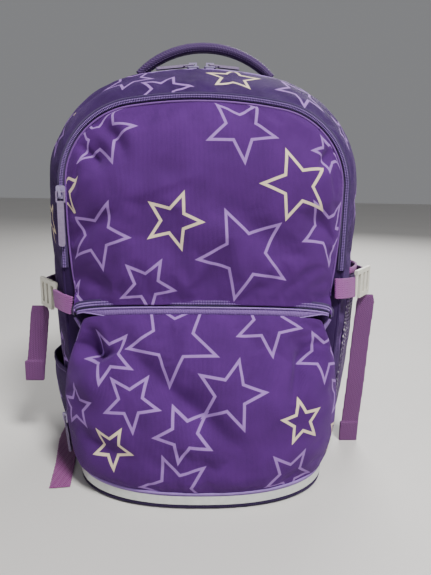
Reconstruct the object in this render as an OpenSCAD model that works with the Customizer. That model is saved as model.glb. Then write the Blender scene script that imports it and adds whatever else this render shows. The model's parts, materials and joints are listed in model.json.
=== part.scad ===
// Daypack, 24 litres class, assembled from its sewn panels, zips, straps and hardware.
// Frame: X to the wearer's right as seen from the front, the front faces -Y, Z up.
// Origin: centre of the flat base panel, where the pack stands.

/* [Pack body] */
// Width of the main compartment at its widest
body_w = 320; // [260:1:360]
// Height of the zipped ridge over the top, above the ground
body_h = 399; // [340:1:460]
// Where the main zip runs, measured from the origin
ridge_y = 25; // [10:1:40]
// Rear edge of the side panels
rear_y = 96.6; // [80:0.1:120]
// Front edge of the side panels
front_y = -46; // [-60:1:-30]
// Wall thickness given to padded fabric
wall = 3; // [2:0.5:5]

/* [Front pockets] */
// Half width of the upper pocket panel
upper_half = 128.6; // [110:0.1:140]
// Top of the upper pocket panel
upper_top = 358.6; // [320:0.1:380]
// Lower edge of the upper pocket panel
upper_low = 181; // [170:1:200]
// How far the filled upper pocket bulges
upper_bulge = 26; // [10:1:50]
// Top of the lower pocket
lower_top = 174; // [150:1:185]
// How far the lower pocket stands out from the front wall
lower_depth = 82; // [50:1:95]

/* [Webbing and hardware] */
// Width of the side compression webbing
web_w = 20; // [15:1:25]
// Thickness of the webbing
web_t = 1.6; // [1:0.1:2.5]
// Diameter of the padded grab handle
handle_d = 11; // [8:0.5:16]

/* [Harness] */
// Width of a shoulder strap
strap_w = 58; // [40:1:70]
// Thickness of a shoulder strap
strap_t = 12; // [8:1:18]

/* [Hidden] */
$fn = 32;
gap = 0.4;
foot_z = 4;                       // underside of the sewn body, on top of the base panel
crown_x = 70;                     // half the length of the flat arc over the top
upper_y = -50;                    // plane the upper zip lies in
lower_zip_y = -60;                // plane the lower zip lies in
lower_back = -49.8;               // back of the lower pocket, against the front wall
zip_r = body_h - crown_rad(ridge_y); // height of the centre of the ridge's top arc
strap_top = [52, 162, 330];       // upper end of a shoulder strap's straight run
strap_low = [88, 150, 112];       // lower end of it
purple = [0.36, 0.20, 0.50];
dark = [0.22, 0.12, 0.33];
lilac = [0.60, 0.42, 0.70];
silver = [0.78, 0.80, 0.76];
ivory = [0.87, 0.86, 0.78];
black = [0.12, 0.12, 0.13];

// ---------- lofts ----------

function flat(list) = [for (part = list) for (item = part) item];

// Triangles that join ring i to ring j, each of n points.
function skin(i, j, n) = flat([for (k = [0 : n - 1])
    [[i * n + k, j * n + k, j * n + (k + 1) % n],
     [i * n + k, j * n + (k + 1) % n, i * n + (k + 1) % n]]]);

function sum(list) = [for (item = list) 1] * list;

// True where a ring runs counter-clockwise about the way to the next ring.
function winds_forward(a, b) =
    sum([for (k = [1 : len(a) - 2]) cross(a[k] - a[0], a[k + 1] - a[0])]) * (sum(b) - sum(a)) > 0;

function flipped(faces) = [for (f = faces) [for (k = [len(f) - 1 : -1 : 0]) f[k]]];

// A solid through a list of rings, closed at both ends.
module loft(rings) {
    n = len(rings[0]);
    last = len(rings) - 1;
    sides = flat([for (i = [0 : last - 1]) skin(i, i + 1, n)]);
    caps = [[for (k = [0 : n - 1]) k], [for (k = [n - 1 : -1 : 0]) last * n + k]];
    faces = concat(sides, caps);
    polyhedron(flat(rings), winds_forward(rings[0], rings[1]) ? faces : flipped(faces), convexity = 8);
}

// A tube wall: the rings run out along the outside and back along the inside.
module tube(rings) {
    n = len(rings[0]);
    last = len(rings) - 1;
    faces = flat([for (i = [0 : last]) skin(i, (i + 1) % (last + 1), n)]);
    polyhedron(flat(rings), flipped(faces), convexity = 8);
}

// ---------- the pack's outline, seen from the front ----------

// 0 at the ridge, 1 at the front edge or at the back panel.
function toward_edge(y) = y < ridge_y ? (ridge_y - y) / (ridge_y - front_y)
    : (y - ridge_y) / (104 - ridge_y);
function half_w(y) = body_w / 2 - (y < ridge_y ? 23 * pow(toward_edge(y), 1.5)
    : 19 * pow(toward_edge(y), 2.2));
function top_z(y) = body_h - (y < ridge_y ? 32 * pow(toward_edge(y), 1.4)
    : 16 * pow(toward_edge(y), 2.2));
function foot_half(y) = y < ridge_y ? 148 - 28 * pow(toward_edge(y), 1.4)
    : 148 - 14 * pow(toward_edge(y), 2);
function crown_rad(y) = y < ridge_y ? 340 + 60 * toward_edge(y) : 340;

// Half width at height z of a side that goes from its foot up to its full width.
function side_at(half, foot, low, mid, z) =
    foot + (half - foot) * (1 - pow(1 - min(1, max(0, (z - low) / (mid - low))), 2.5));

// An arched outline: straight foot, sides, shoulder arcs and a flat arc over the top.
function arch(half, top, crown, foot, low, round) =
    let (lean = asin(crown_x / crown),
         bend = (half - crown_x) / (1 - sin(lean)),
         cx = (crown - bend) * sin(lean),
         cz = top - crown + (crown - bend) * cos(lean),
         right = concat(
             [[foot - round, low], [foot - round * 0.3, low + round * 0.2]],
             [for (i = [0 : 5]) let (z = low + round * 0.6 + (cz - low - round * 0.6) * i / 6)
                 [side_at(half, foot, low, cz, z), z]],
             [for (i = [0 : 7]) let (a = (90 - lean) * i / 7) [cx + bend * cos(a), cz + bend * sin(a)]],
             [for (i = [1 : 2]) let (a = 90 - lean * (1 - i / 3)) [crown * cos(a), top - crown + crown * sin(a)]]))
    concat(right, [[0, top]], [for (i = [len(right) - 1 : -1 : 0]) [-right[i][0], right[i][1]]]);

function body_arch(y, inset = 0) =
    arch(half_w(y) - inset, top_z(y) - inset, crown_rad(y) - inset, foot_half(y) - inset,
        foot_z + inset, 16);

function at_y(outline, y) = [for (p = outline) [p[0], y, p[1]]];

function scaled(outline, c, s) = [for (p = outline) [c[0] + (p[0] - c[0]) * s, c[1] + (p[1] - c[1]) * s]];

// Outward normal of an open line of points at index i.
function normal_at(line, i) =
    let (a = line[max(0, i - 1)], b = line[min(len(line) - 1, i + 1)], d = b - a)
    [d[1], -d[0]] / norm(d);

// The part of an outline that lies above a height, from the right side over to the left.
function above(outline, z) = [for (p = outline) if (p[1] > z) p];

// ---------- zips ----------

// A zip's section as [across, out] from the middle of the tape: the coil crowns the tape.
function zip_section(tape, out) = [[-tape, out], [tape, out], [tape, out + 0.8], [1.2, out + 2.4],
    [-1.2, out + 2.4], [-tape, out + 0.8]];

// A zip along a line in a frontal plane, its coil facing away from the pack's middle.
module rim_zip(line, y, tape, out) {
    loft([for (i = [0 : len(line) - 1]) let (n = normal_at(line, i))
        [for (s = zip_section(tape, out)) [line[i][0] + n[0] * s[1], y - s[0], line[i][1] + n[1] * s[1]]]]);
}

// The same with its coil facing the front.
module face_zip(line, y, tape) {
    loft([for (i = [0 : len(line) - 1]) let (n = normal_at(line, i))
        [for (s = zip_section(tape, 0)) [line[i][0] + n[0] * s[0], y - s[1], line[i][1] + n[1] * s[0]]]]);
}

module rounded_plate(w, l, t, r) {
    translate([-w / 2 + r, -l / 2, 0]) cube([w - 2 * r, l, t]);
    translate([-w / 2, -l / 2 + r, 0]) cube([w, l - 2 * r, t]);
    for (x = [-1, 1], y = [-1, 1])
        translate([x * (w / 2 - r), y * (l / 2 - r), 0]) cylinder(r = r, h = t);
}

// Zip slider: Y along the zip, Z away from the coil's crown.
module zip_slider() {
    translate([0, 0, 0.6]) rounded_plate(8.4, 12, 1.2, 2);
    for (x = [-3.8, 2.7])
        translate([x, -4, -0.7]) cube([1.1, 8, 1.5]);
    difference() {
        translate([-1, -4, 1.8]) cube([2, 8, 3.8]);
        translate([-2, -2.2, 1.8]) cube([4, 4.4, 2.6]);
    }
}

// Zip pull: a wire frame on its cross bar at the origin, then a sewn tab. It points to +Y.
module zip_pull(length) {
    rotate([0, 90, 0]) cylinder(d = 1.6, h = 7.4, center = true);
    for (x = [-1, 1]) {
        translate([x * 3.7, 0, 0]) rotate([-90, 0, 0]) cylinder(d = 1.6, h = 9);
        translate([x * 3.7, 0, 0]) sphere(d = 1.6);
        translate([x * 3.7, 9, 0]) sphere(d = 1.6);
    }
    translate([0, 9, 0]) rotate([0, 90, 0]) cylinder(d = 1.6, h = 7.4, center = true);
    translate([0, 8 + (length - 8) / 2, -1.2]) rounded_plate(6, length - 8, 2.4, 2);
}

// ---------- sewn body ----------

module back_panel() color(dark)
    loft([at_y(body_arch(97), 97), at_y(body_arch(104), 104)]);

module frame_sheet() color(black)
    loft([for (y = [94.6, 96]) at_y(body_arch(104, 12), y)]);

module pillow(c, w, h, y, depth) {
    rim = [for (a = [0 : 15 : 345]) [c[0] + w / 2 * sign(cos(a)) * pow(abs(cos(a)), 0.5),
        c[1] + h / 2 * sign(sin(a)) * pow(abs(sin(a)), 0.5)]];
    mirror([0, 1, 0]) translate([0, -y, 0]) loft([for (s = [[1, 0], [1, 0.35], [0.94, 0.72], [0.8, 0.93], [0.55, 1]])
        at_y(scaled(rim, c, s[0]), -depth * s[1])]);
}

module back_pad(side) color(dark) pillow([side * 58, 208], 92, 176, 104.4, 17);

module lumbar_pad() color(dark) pillow([0, 68], 176, 78, 104.4, 19);

module gusset(ys, inset) {
    tube(concat([for (y = ys) at_y(body_arch(y), y)],
        [for (i = [len(ys) - 1 : -1 : 0]) at_y(body_arch(ys[i], inset), ys[i])]));
}

module rear_gusset() color(purple) gusset([28.7, 42, 58, 74, 86, rear_y], wall);

// The front side panels also close the gap below the two ends of the main zip.
module front_gusset() color(purple) {
    gusset([front_y, -36, -22, -8, 8, 21.3], wall);
    intersection() {
        gusset([21.3, 28.3], wall);
        translate([-200, 0, 0]) cube([400, 60, 130]);
    }
}

module front_wall() color(dark)
    loft([at_y(body_arch(-46.4), -46.4), at_y(body_arch(-46.4), -49.4)]);

module base_panel() color(dark)
    linear_extrude(3.6) polygon(concat(
        [for (a = [180 : 10 : 360]) [108 * cos(a), -46 + 70 * sin(a)]],
        [[122, 0], [128, 30], [124, 70], [108, 94], [-108, 94], [-124, 70], [-128, 30], [-122, 0]]));

module document_sleeve() color(dark)
    translate([-105, 87, 20]) cube([210, 5, 230]);

// ---------- front pockets ----------

function upper_outline(grow = 0) =
    arch(upper_half + grow, upper_top + grow, 400, upper_half - 6 + grow, upper_low, 14);

module upper_pocket() color(purple) {
    mid = [0, 268];
    difference() {
        loft([for (s = [[1, 0], [1, 0.2], [0.97, 0.45], [0.88, 0.72], [0.7, 0.92], [0.4, 1]])
            at_y(scaled(upper_outline(), mid, s[0]), -49.8 - upper_bulge * s[1])]);
        loft([for (s = [[0.975, -0.1], [0.975, 0.1], [0.94, 0.34], [0.85, 0.6], [0.67, 0.8], [0.36, 0.88]])
            at_y(scaled(upper_outline(), mid, s[0]), -49.8 - upper_bulge * s[1])]);
    }
}

function pocket_half(z) = lookup(z, [[4, 112], [14, 120], [30, 126], [45, 129], [125, 137],
    [145, 134.5], [160, 126], [168, 114], [174, 98]]);
function pocket_out(z) = lower_depth / 82 * lookup(z, [[4, 72], [14, 78], [40, 82], [80, 79],
    [120, 66], [145, 51], [160, 38], [168, 30], [174, 23]]);

// One level of the lower pocket: a straight back and a rounded front.
function pocket_point(z, a, grow) =
    [(pocket_half(z) + grow) * sign(cos(a)) * pow(abs(cos(a)), 0.85),
     lower_back - (pocket_out(z) + grow) * pow(sin(a), 0.85), z];
function pocket_level(z, grow) = [for (a = [0 : 10 : 180]) pocket_point(z, a, grow)];

module lower_pocket() color(purple) {
    levels = [4, 14, 30, 45, 70, 98, 125, 145, 160, 168, 174];
    difference() {
        loft([for (z = levels) pocket_level(z, 0)]);
        translate([0, 0.5, 0]) loft([for (z = levels) let (inside = min(171, max(7, z)))
            [for (p = pocket_level(z, -wall)) [p[0], p[1], inside == z ? z : inside + (z < 7 ? 0 : 0.01)]]]);
    }
}

// A strip of trim sewn round the lower pocket between two heights.
module pocket_strip(z1, z2, thick, from) {
    loft([for (a = [from : 5 : 180 - from]) [pocket_point(z1, a, gap), pocket_point(z2, a, gap),
        pocket_point(z2, a, gap + thick), pocket_point(z1, a, gap + thick)]]);
}

module pocket_piping() color(lilac) pocket_strip(160.4, 167.6, 1.2, 20);

module reflective_band() color(silver) pocket_strip(4.4, 14, 1.2, 5);

module band_piping() color(ivory) pocket_strip(14.4, 16.8, 2, 5);

module main_zip() color(lilac)
    rim_zip(above(body_arch(ridge_y), 132), ridge_y, 3.2, -1);

module upper_zip() color(lilac)
    face_zip(above(arch(133, 363, 400, 133, upper_low, 14), 205), upper_y, 3.6);

// Round the pocket's opening: down the left side to the slider's stop, less far on the right.
function lower_zip_line() = concat(
    [for (z = [96, 125, 145, 160, 168, 173]) [pocket_half(z), z]],
    [[90, 174], [30, 174], [-30, 174], [-90, 174]],
    [for (z = [173, 168, 160, 145, 125, 45]) [-pocket_half(z), z]]);

module lower_zip() color(lilac)
    rim_zip(lower_zip_line(), lower_zip_y, 3.6, gap);

// ---------- side pockets ----------

// A pouch sewn to the side of the pack, open at the top. side is 1 right, -1 left.
function pouch_x(y, z) = side_at(half_w(y), foot_half(y), foot_z, 281, z) + 1.4;
function pouch_level(side, y1, y2, z, bulge) = concat(
    [for (i = [0 : 12]) let (y = y1 + (y2 - y1) * i / 12)
        [side * (pouch_x(y, z) + bulge * sqrt(sin(15 * i))), y, z]],
    [[side * 120, y2, z], [side * 120, y1, z]]);
module pouch(side, y1, y2, z1, z2, bulge, thick) {
    difference() {
        loft([for (i = [0 : 4]) pouch_level(side, y1, y2, z1 + (z2 - z1) * i / 4, bulge + thick)]);
        loft([for (i = [0 : 5]) let (z = i < 5 ? z1 + thick + (z2 - z1 - thick) * i / 4.9 : z2 + 3)
            pouch_level(side, y1 + thick, y2 - thick, z, bulge)]);
        loft([for (y = [-60, -46, -34, -22, -10, 2, 14, 26, 40, 54, 68, 82, 96]) at_y(body_arch(y, -1.2), y)]);
    }
}

// Binding or hem round the mouth of a side pocket.
module mouth_trim(side, y1, y2, z, bulge, thick, tall) {
    loft([for (i = [0 : 12]) let (y = y1 + (y2 - y1) * i / 12, x = pouch_x(y, z) + bulge * sqrt(sin(15 * i)))
        [[side * x, y, z], [side * (x + thick), y, z], [side * (x + thick), y, z + tall],
         [side * x, y, z + tall]]]);
}

module side_pocket_left() color(purple) pouch(-1, -38, 70, 20, 92, 10, 2);

module side_hem_left() color(dark) mouth_trim(-1, -38, 70, 92.3, 9.6, 2.8, 6);

module mesh_pocket_right() color(dark) pouch(1, -16, 70, 20, 196, 9, 1.6);

module mesh_binding_right() color(lilac) mouth_trim(1, -16, 70, 196.3, 8.4, 2.8, 6);

// ---------- zip sliders and pulls ----------

main_rest = [-2.2, 0.7];          // where the left and right main sliders rest, in degrees
pivot_h = 3.1;                    // a pull's pivot above the coil's crown

// Places its children on the ridge: Y along the zip away from the middle, Z outwards.
module on_ridge(side) {
    translate([0, ridge_y, zip_r]) rotate([0, main_rest[side > 0 ? 1 : 0], 0])
        translate([0, 0, crown_rad(ridge_y) + 1.4]) rotate([0, 0, -90 * side]) children();
}

module main_slider_left() color(black) on_ridge(-1) zip_slider();

module main_slider_right() color(black) on_ridge(1) zip_slider();

module main_pull_left() color(lilac) on_ridge(-1)
    translate([0, 0, pivot_h]) rotate([-4, 0, 0]) zip_pull(38);

module main_pull_right() color(lilac) on_ridge(1)
    translate([0, 0, pivot_h]) rotate([-4, 0, 0]) zip_pull(30);

upper_slider_at = [-133, upper_y - 2.4, 276];

// Zip down the left side with its coil to the front: Y runs down, Z to the front.
module on_upper() {
    translate(upper_slider_at) rotate([90, 0, 0]) rotate([0, 0, 180]) children();
}

module upper_slider() color(black) on_upper() zip_slider();

module upper_pull() color(lilac) on_upper() translate([0, 0, pivot_h]) zip_pull(50);

lower_run = atan2(137 - 129, 125 - 45);
lower_slider_at = [-(129 + 12 * 8 / 80) - gap - 2.4, lower_zip_y, 57];

// Zip up the left side of the lower pocket: Y runs down, Z to the left.
module on_lower() {
    translate(lower_slider_at) rotate([0, -lower_run, 0]) rotate([0, -90, 0]) rotate([0, 0, 90])
        children();
}

module lower_slider() color(black) on_lower() zip_slider();

module lower_pull() color(lilac) on_lower() translate([0, 0, pivot_h]) zip_pull(38);

// ---------- grab handle ----------

handle_y = 60;
handle_z = 394;
handle_r = 104;
handle_half = 44;                 // half the angle the handle spans

// A padded tube bowed over the top, on a flat loop of webbing at each end.
module grab_handle() color(purple) {
    translate([0, handle_y, handle_z + 34 - handle_r]) rotate([90, 0, 0])
        rotate([0, 0, 90 - handle_half]) rotate_extrude(angle = 2 * handle_half, $fn = 96)
            translate([handle_r, 0]) circle(d = handle_d);
}

// Webbing tab that holds the handle's end down on the back edge of the top.
module handle_anchor(side) color(purple)
    translate([side * 78, handle_y, 389.4]) rotate([0, side * 14, 0])
        translate([-9, -10, 0]) cube([18, 20, web_t]);

// ---------- side compression straps ----------

// A strip of webbing on edge: the line is its path in plan.
module edge_web(line, z, w) {
    n = len(line) - 1;
    left = [for (i = [0 : n]) line[i] + web_t / 2 * normal_at(line, i)];
    right = [for (i = [n : -1 : 0]) line[i] - web_t / 2 * normal_at(line, i)];
    translate([0, 0, z - w / 2]) linear_extrude(w) polygon(concat(left, right));
}

buckle_turn = 35;                 // degrees the buckles stand out from the side
// Middle of a buckle: the right one rides higher, outside the tall pocket.
function buckle_at(side) = side > 0 ? [167, -14, 187] : [160, -16, 172];

// Places its children at a buckle: Y to the rear along the strap, X away from the pack.
module on_buckle(side) {
    mirror([side > 0 ? 0 : 1, 0, 0]) translate(buckle_at(side)) rotate([0, 0, -buckle_turn]) children();
}

bar_y = -22;                      // the free-ended front bar, from the buckle's middle

// Loop drawn out to a point: an arc of radius r round c, closed at half width w by s.
function teardrop(c, s, r, w) = let (d = (s - c) / norm(s - c), across = [-d[1], d[0]])
    concat([for (a = [0 : 15 : 180]) c + r * (across * cos(a) - d * sin(a))], [s - across * w, s + across * w]);

// Sewn loop at the corner of the lower pocket, round the buckle's front bar.
module loop_web(side) color(lilac) {
    b = buckle_at(side);
    bar = [b[0] + bar_y * sin(buckle_turn), b[1] + bar_y * cos(buckle_turn)];
    seam = [139, -51.4];
    mirror([side > 0 ? 0 : 1, 0, 0]) translate([0, 0, b[2] - web_w / 2]) linear_extrude(web_w) difference() {
        polygon(teardrop(bar, seam, 4.3, 1.7));
        polygon(teardrop(bar, seam + (bar - seam) * 0.2, 2.7, 0.1));
    }
}

// Hook buckle: ladder lock behind, and in front a bar with a free lower end for the loop.
module hook_buckle(side) color(ivory) on_buckle(side) {
    difference() {
        translate([-1.6, -24, -15]) cube([3.2, 42, 30]);
        translate([-2, -25, -16]) cube([4, 13, 5.4]);
        translate([-2, -25, -11]) cube([4, 13, 21.6]);
        for (y = [-5, 7])
            translate([-2, y, -10.6]) cube([4, 6, 21.2]);
    }
    translate([0, bar_y, -10.6]) cylinder(d = 4, h = 23);
}

// Webbing from the rear seam forward to the ladder lock.
module rear_web(side) color(purple) {
    b = buckle_at(side);
    line = [[151.2, 86], [b[0] + 2.5, b[1] + 72], [b[0] + 9.5, b[1] + 48], [b[0] + 12, b[1] + 28],
        [b[0] + 11.5, b[1] + 16.5]];
    mirror([side > 0 ? 0 : 1, 0, 0]) edge_web(line, b[2], web_w);
}

// Loose end of the side webbing, hanging face on from the buckle, with a folded hem.
module side_tail(side) color(purple) {
    b = buckle_at(side);
    drop = side > 0 ? 169 : 82;
    lean = side > 0 ? -8 : 9;
    mirror([side > 0 ? 0 : 1, 0, 0]) translate([b[0] + (side > 0 ? 8.5 : 13), b[1] + 13, b[2] - 16]) rotate([90, 0, 0]) {
        linear_extrude(web_t)
            polygon([[-8, 0], [8, 0], [10, -8], [10 + lean, -drop], [-10 + lean, -drop], [-10, -8]]);
        translate([lean - 10, -drop - 2, -1.2]) cube([20, 22, 4]);
    }
}

// ---------- harness ----------

module shoulder_yoke() color(dark)
    translate([-84, 104.4, 312]) cube([168, 2.6, 56]);

// Middle of a shoulder strap at steps along its length: over the top, then straight down.
arc_c = [138, 330];
function strap_mid() = concat(
    [for (a = [180 : -22.5 : 0]) [50 + 2 * (180 - a) / 180, arc_c[0] + 24 * cos(a), arc_c[1] + 24 * sin(a)]],
    [for (i = [1 : 6]) strap_top + (strap_low - strap_top) * i / 6]);

function strap_normal(m, i) = let (a = m[max(0, i - 1)], b = m[min(len(m) - 1, i + 1)], d = b - a)
    [0, -d[2], d[1]] / norm([d[1], d[2]]);

module along_strap(side, w, t, off, first, last) {
    m = strap_mid();
    loft([for (i = [first : last]) let (n = strap_normal(m, i), wide = w * (i < 2 ? 0.85 : 1))
        [for (a = [0 : 24 : 336]) let (k = side > 0 ? a : 336 - a,
            u = wide / 2 * sign(cos(k)) * pow(abs(cos(k)), 0.45),
            v = t / 2 * sign(sin(k)) * pow(abs(sin(k)), 0.6))
            [side * (m[i][0] + u), m[i][1] + n[1] * (v + off), m[i][2] + n[2] * (v + off)]]]);
}

module shoulder_strap(side) color(dark) along_strap(side, strap_w, strap_t, 0, 0, 14);

// Webbing sewn along the outside of the strap, down to the adjuster.
module strap_webbing(side) color(purple) {
    m = strap_mid();
    loft([for (i = [4 : 14]) let (n = strap_normal(m, i), s = side)
        [for (q = [[-10, 6.4], [10, 6.4], [10, 8], [-10, 8]])
            [s * (m[i][0] + s * q[0]), m[i][1] + n[1] * q[1], m[i][2] + n[2] * q[1]]]]);
}

// Places its children on a strap: Z up along the strap, Y outwards, origin at its lower end.
module on_strap(side, up) {
    d = strap_top - strap_low;
    lean_y = atan2(d[1], d[2]);
    lean_x = atan2(d[0], norm([d[1], d[2]]));
    mirror([side > 0 ? 0 : 1, 0, 0]) translate(strap_low) rotate([-lean_y, 0, 0])
        rotate([0, lean_x, 0]) translate([0, 0, up]) children();
}

// Ladder lock under the end of the padded strap.
module adjuster(side) color(black) on_strap(side, -30) difference() {
    translate([-14, 3, 0]) cube([28, 5, 28]);
    translate([-10.6, 2, 4]) cube([21.2, 7, 4]);
    translate([-10.6, 2, 12]) cube([21.2, 7, 4]);
    translate([-10.6, 2, 21]) cube([21.2, 7, 4]);
}

// Webbing from the base corner, where it is sewn in, up to the adjuster.
module lower_web(side) color(purple) {
    ends = [[92.6, 150.6, 79], [98, 141, 62], [106, 126, 42], [113, 112, 24], [114, 105.4, 17]];
    loft([for (p = ends) [for (q = [[-10, 0], [10, 0], [10, web_t], [-10, web_t]])
        [side * (p[0] + side * q[0]), p[1] + q[1], p[2] + (q[1] > 0 ? 0.8 : 0)]]]);
}

// Loose end of the left strap's webbing: down from the adjuster and forward on the ground.
module strap_tail_left() color(purple) {
    line = [[-92, 162, 78], [-95, 163, 40], [-102, 159, 14], [-113, 146, 3], [-127, 124, 1],
        [-143, 92, 1], [-152, 50, 1], [-150, 0, 1], [-141, -50, 1], [-135, -96, 1]];
    n = len(line) - 1;
    loft([for (i = [0 : n]) let (a = line[max(0, i - 1)], b = line[min(n, i + 1)], d = (b - a) / norm(b - a),
            across = i < 3 ? [1, 0, 0] : [-d[1], d[0], 0] / norm([d[0], d[1]]),
            up = cross(across, d) / norm(cross(across, d)))
        [for (q = [[-10, -0.8], [-10, 0.8], [10, 0.8], [10, -0.8]]) line[i] + across * q[0] + up * q[1]]]);
}

// Loose end of the right strap's webbing, hanging behind its adjuster.
module strap_tail_right() color(purple)
    translate([83, 161, 6]) cube([20, web_t, 78]);

// Clamp that holds the sternum strap on the shoulder strap's webbing.
module sternum_slider(side) color(black) on_strap(side, 150) {
    translate([-13, 8.6, -6]) cube([26, 2.6, 12]);
    for (x = [-12.6, 10.6])
        translate([x, 6.9, -6]) cube([2, 1.8, 12]);
    difference() {
        translate([-24, 8.6, -6]) cube([11.2, 2.6, 12]);
        translate([-22, 8, -4.2]) cube([4, 4, 8.4]);
    }
}

sternum_c = [44, 171.8, 256];     // where a sternum strap hangs from its clamp

module sternum_web(side) color(purple)
    translate([side * sternum_c[0], sternum_c[1], sternum_c[2]]) {
        translate([-7.5, -web_t / 2, -67.6]) cube([15, web_t, 74]);
    }

// Female half of the side release buckle: an open sleeve.
module sternum_socket() color(black)
    translate([-sternum_c[0], sternum_c[1], sternum_c[2] - 98]) difference() {
        translate([-12, -4.5, 0]) cube([24, 9, 30]);
        translate([-9, -2.6, -1]) cube([18, 5.2, 22]);
        translate([-13, -2, 6]) cube([26, 4, 9]);
        translate([-8, -5, 24]) cube([16, 10, 2.6]);
    }

// Male half: two springy arms and a middle guide.
module sternum_plug() color(black)
    translate([sternum_c[0], sternum_c[1], sternum_c[2] - 98]) {
        difference() {
            translate([-11, -3.5, 20]) cube([22, 7, 10]);
            translate([-8, -4, 23]) cube([16, 8, 2.6]);
        }
        translate([-1.5, -1.5, 4]) cube([3, 3, 16]);
        for (x = [-1, 1]) {
            translate([x * 8 - 1.2, -1.8, 2]) cube([2.4, 3.6, 18]);
            translate([x * 9.4 - 1.6, -1.8, 2]) cube([3.2, 3.6, 6]);
        }
    }

back_panel();
frame_sheet();
back_pad(-1);  // back_pad_left
back_pad(1);  // back_pad_right
lumbar_pad();
rear_gusset();
front_gusset();
front_wall();
base_panel();
document_sleeve();
upper_pocket();
lower_pocket();
main_zip();
upper_zip();
lower_zip();
pocket_piping();
reflective_band();
band_piping();
side_pocket_left();
side_hem_left();
mesh_pocket_right();
mesh_binding_right();
main_slider_left();
main_slider_right();
upper_slider();
lower_slider();
main_pull_left();
main_pull_right();
upper_pull();
lower_pull();
grab_handle();
handle_anchor(-1);  // handle_anchor_left
handle_anchor(1);  // handle_anchor_right
loop_web(-1);  // loop_left
loop_web(1);  // loop_right
rear_web(-1);  // rear_web_left
rear_web(1);  // rear_web_right
hook_buckle(-1);  // hook_buckle_left
hook_buckle(1);  // hook_buckle_right
side_tail(-1);  // side_tail_left
side_tail(1);  // side_tail_right
shoulder_yoke();
shoulder_strap(-1);  // shoulder_strap_left
shoulder_strap(1);  // shoulder_strap_right
strap_webbing(-1);  // strap_webbing_left
strap_webbing(1);  // strap_webbing_right
adjuster(-1);  // adjuster_left
adjuster(1);  // adjuster_right
lower_web(-1);  // lower_web_left
lower_web(1);  // lower_web_right
strap_tail_left();
strap_tail_right();
sternum_slider(-1);  // sternum_slider_left
sternum_slider(1);  // sternum_slider_right
sternum_web(-1);  // sternum_web_left
sternum_web(1);  // sternum_web_right
sternum_socket();
sternum_plug();
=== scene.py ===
import json
import math
import bmesh
import bpy
import numpy as np
from mathutils import Matrix, Vector, noise

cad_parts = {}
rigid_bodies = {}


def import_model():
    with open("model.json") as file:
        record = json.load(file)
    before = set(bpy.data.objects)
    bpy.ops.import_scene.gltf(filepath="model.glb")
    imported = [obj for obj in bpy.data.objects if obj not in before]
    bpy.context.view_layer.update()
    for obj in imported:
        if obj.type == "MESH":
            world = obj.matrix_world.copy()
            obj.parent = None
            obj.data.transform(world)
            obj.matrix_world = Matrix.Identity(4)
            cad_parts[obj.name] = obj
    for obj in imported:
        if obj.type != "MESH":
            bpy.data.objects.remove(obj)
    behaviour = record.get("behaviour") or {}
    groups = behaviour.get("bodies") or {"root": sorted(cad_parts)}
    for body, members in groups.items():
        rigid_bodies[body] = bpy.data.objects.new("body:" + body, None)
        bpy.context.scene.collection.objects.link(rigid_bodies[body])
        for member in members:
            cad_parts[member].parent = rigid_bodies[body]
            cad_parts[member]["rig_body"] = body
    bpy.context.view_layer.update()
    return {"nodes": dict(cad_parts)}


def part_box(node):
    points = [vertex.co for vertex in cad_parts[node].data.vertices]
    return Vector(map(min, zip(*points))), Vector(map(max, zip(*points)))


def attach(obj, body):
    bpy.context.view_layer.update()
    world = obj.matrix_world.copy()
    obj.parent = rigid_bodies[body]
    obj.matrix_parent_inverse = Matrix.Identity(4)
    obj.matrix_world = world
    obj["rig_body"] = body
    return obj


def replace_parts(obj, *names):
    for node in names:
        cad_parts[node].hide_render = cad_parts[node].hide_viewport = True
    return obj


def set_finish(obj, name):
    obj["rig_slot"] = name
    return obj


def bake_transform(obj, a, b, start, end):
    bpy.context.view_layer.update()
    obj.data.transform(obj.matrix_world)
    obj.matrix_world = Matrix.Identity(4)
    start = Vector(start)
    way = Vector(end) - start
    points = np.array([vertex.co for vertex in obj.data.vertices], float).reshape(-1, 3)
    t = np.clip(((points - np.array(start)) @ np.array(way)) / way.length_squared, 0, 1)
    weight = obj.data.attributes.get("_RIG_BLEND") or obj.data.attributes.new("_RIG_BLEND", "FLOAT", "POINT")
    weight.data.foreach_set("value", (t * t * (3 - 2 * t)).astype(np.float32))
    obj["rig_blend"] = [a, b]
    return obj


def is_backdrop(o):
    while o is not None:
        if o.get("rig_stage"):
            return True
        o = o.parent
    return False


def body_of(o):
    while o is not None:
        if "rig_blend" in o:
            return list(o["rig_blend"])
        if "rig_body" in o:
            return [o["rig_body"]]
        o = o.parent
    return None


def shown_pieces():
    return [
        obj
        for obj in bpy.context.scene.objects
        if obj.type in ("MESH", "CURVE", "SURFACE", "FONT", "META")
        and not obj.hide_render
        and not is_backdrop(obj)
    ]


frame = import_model()
MM = 0.001

# ---------------------------------------------------------------- camera, light, floor

CAMERA_AT = (-6, -544, 292)                      # millimetres from the pack's origin
CAM_PITCH, CAM_TURN, CAM_ROLL = 12.0, -2.0, 1.0  # degrees: downwards, to the side, about the view
SENSOR, LENS = 36.0, 32.56                       # millimetres
LIT_POINT = Vector((0, 0, 0.2))                  # what every lamp points at


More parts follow.
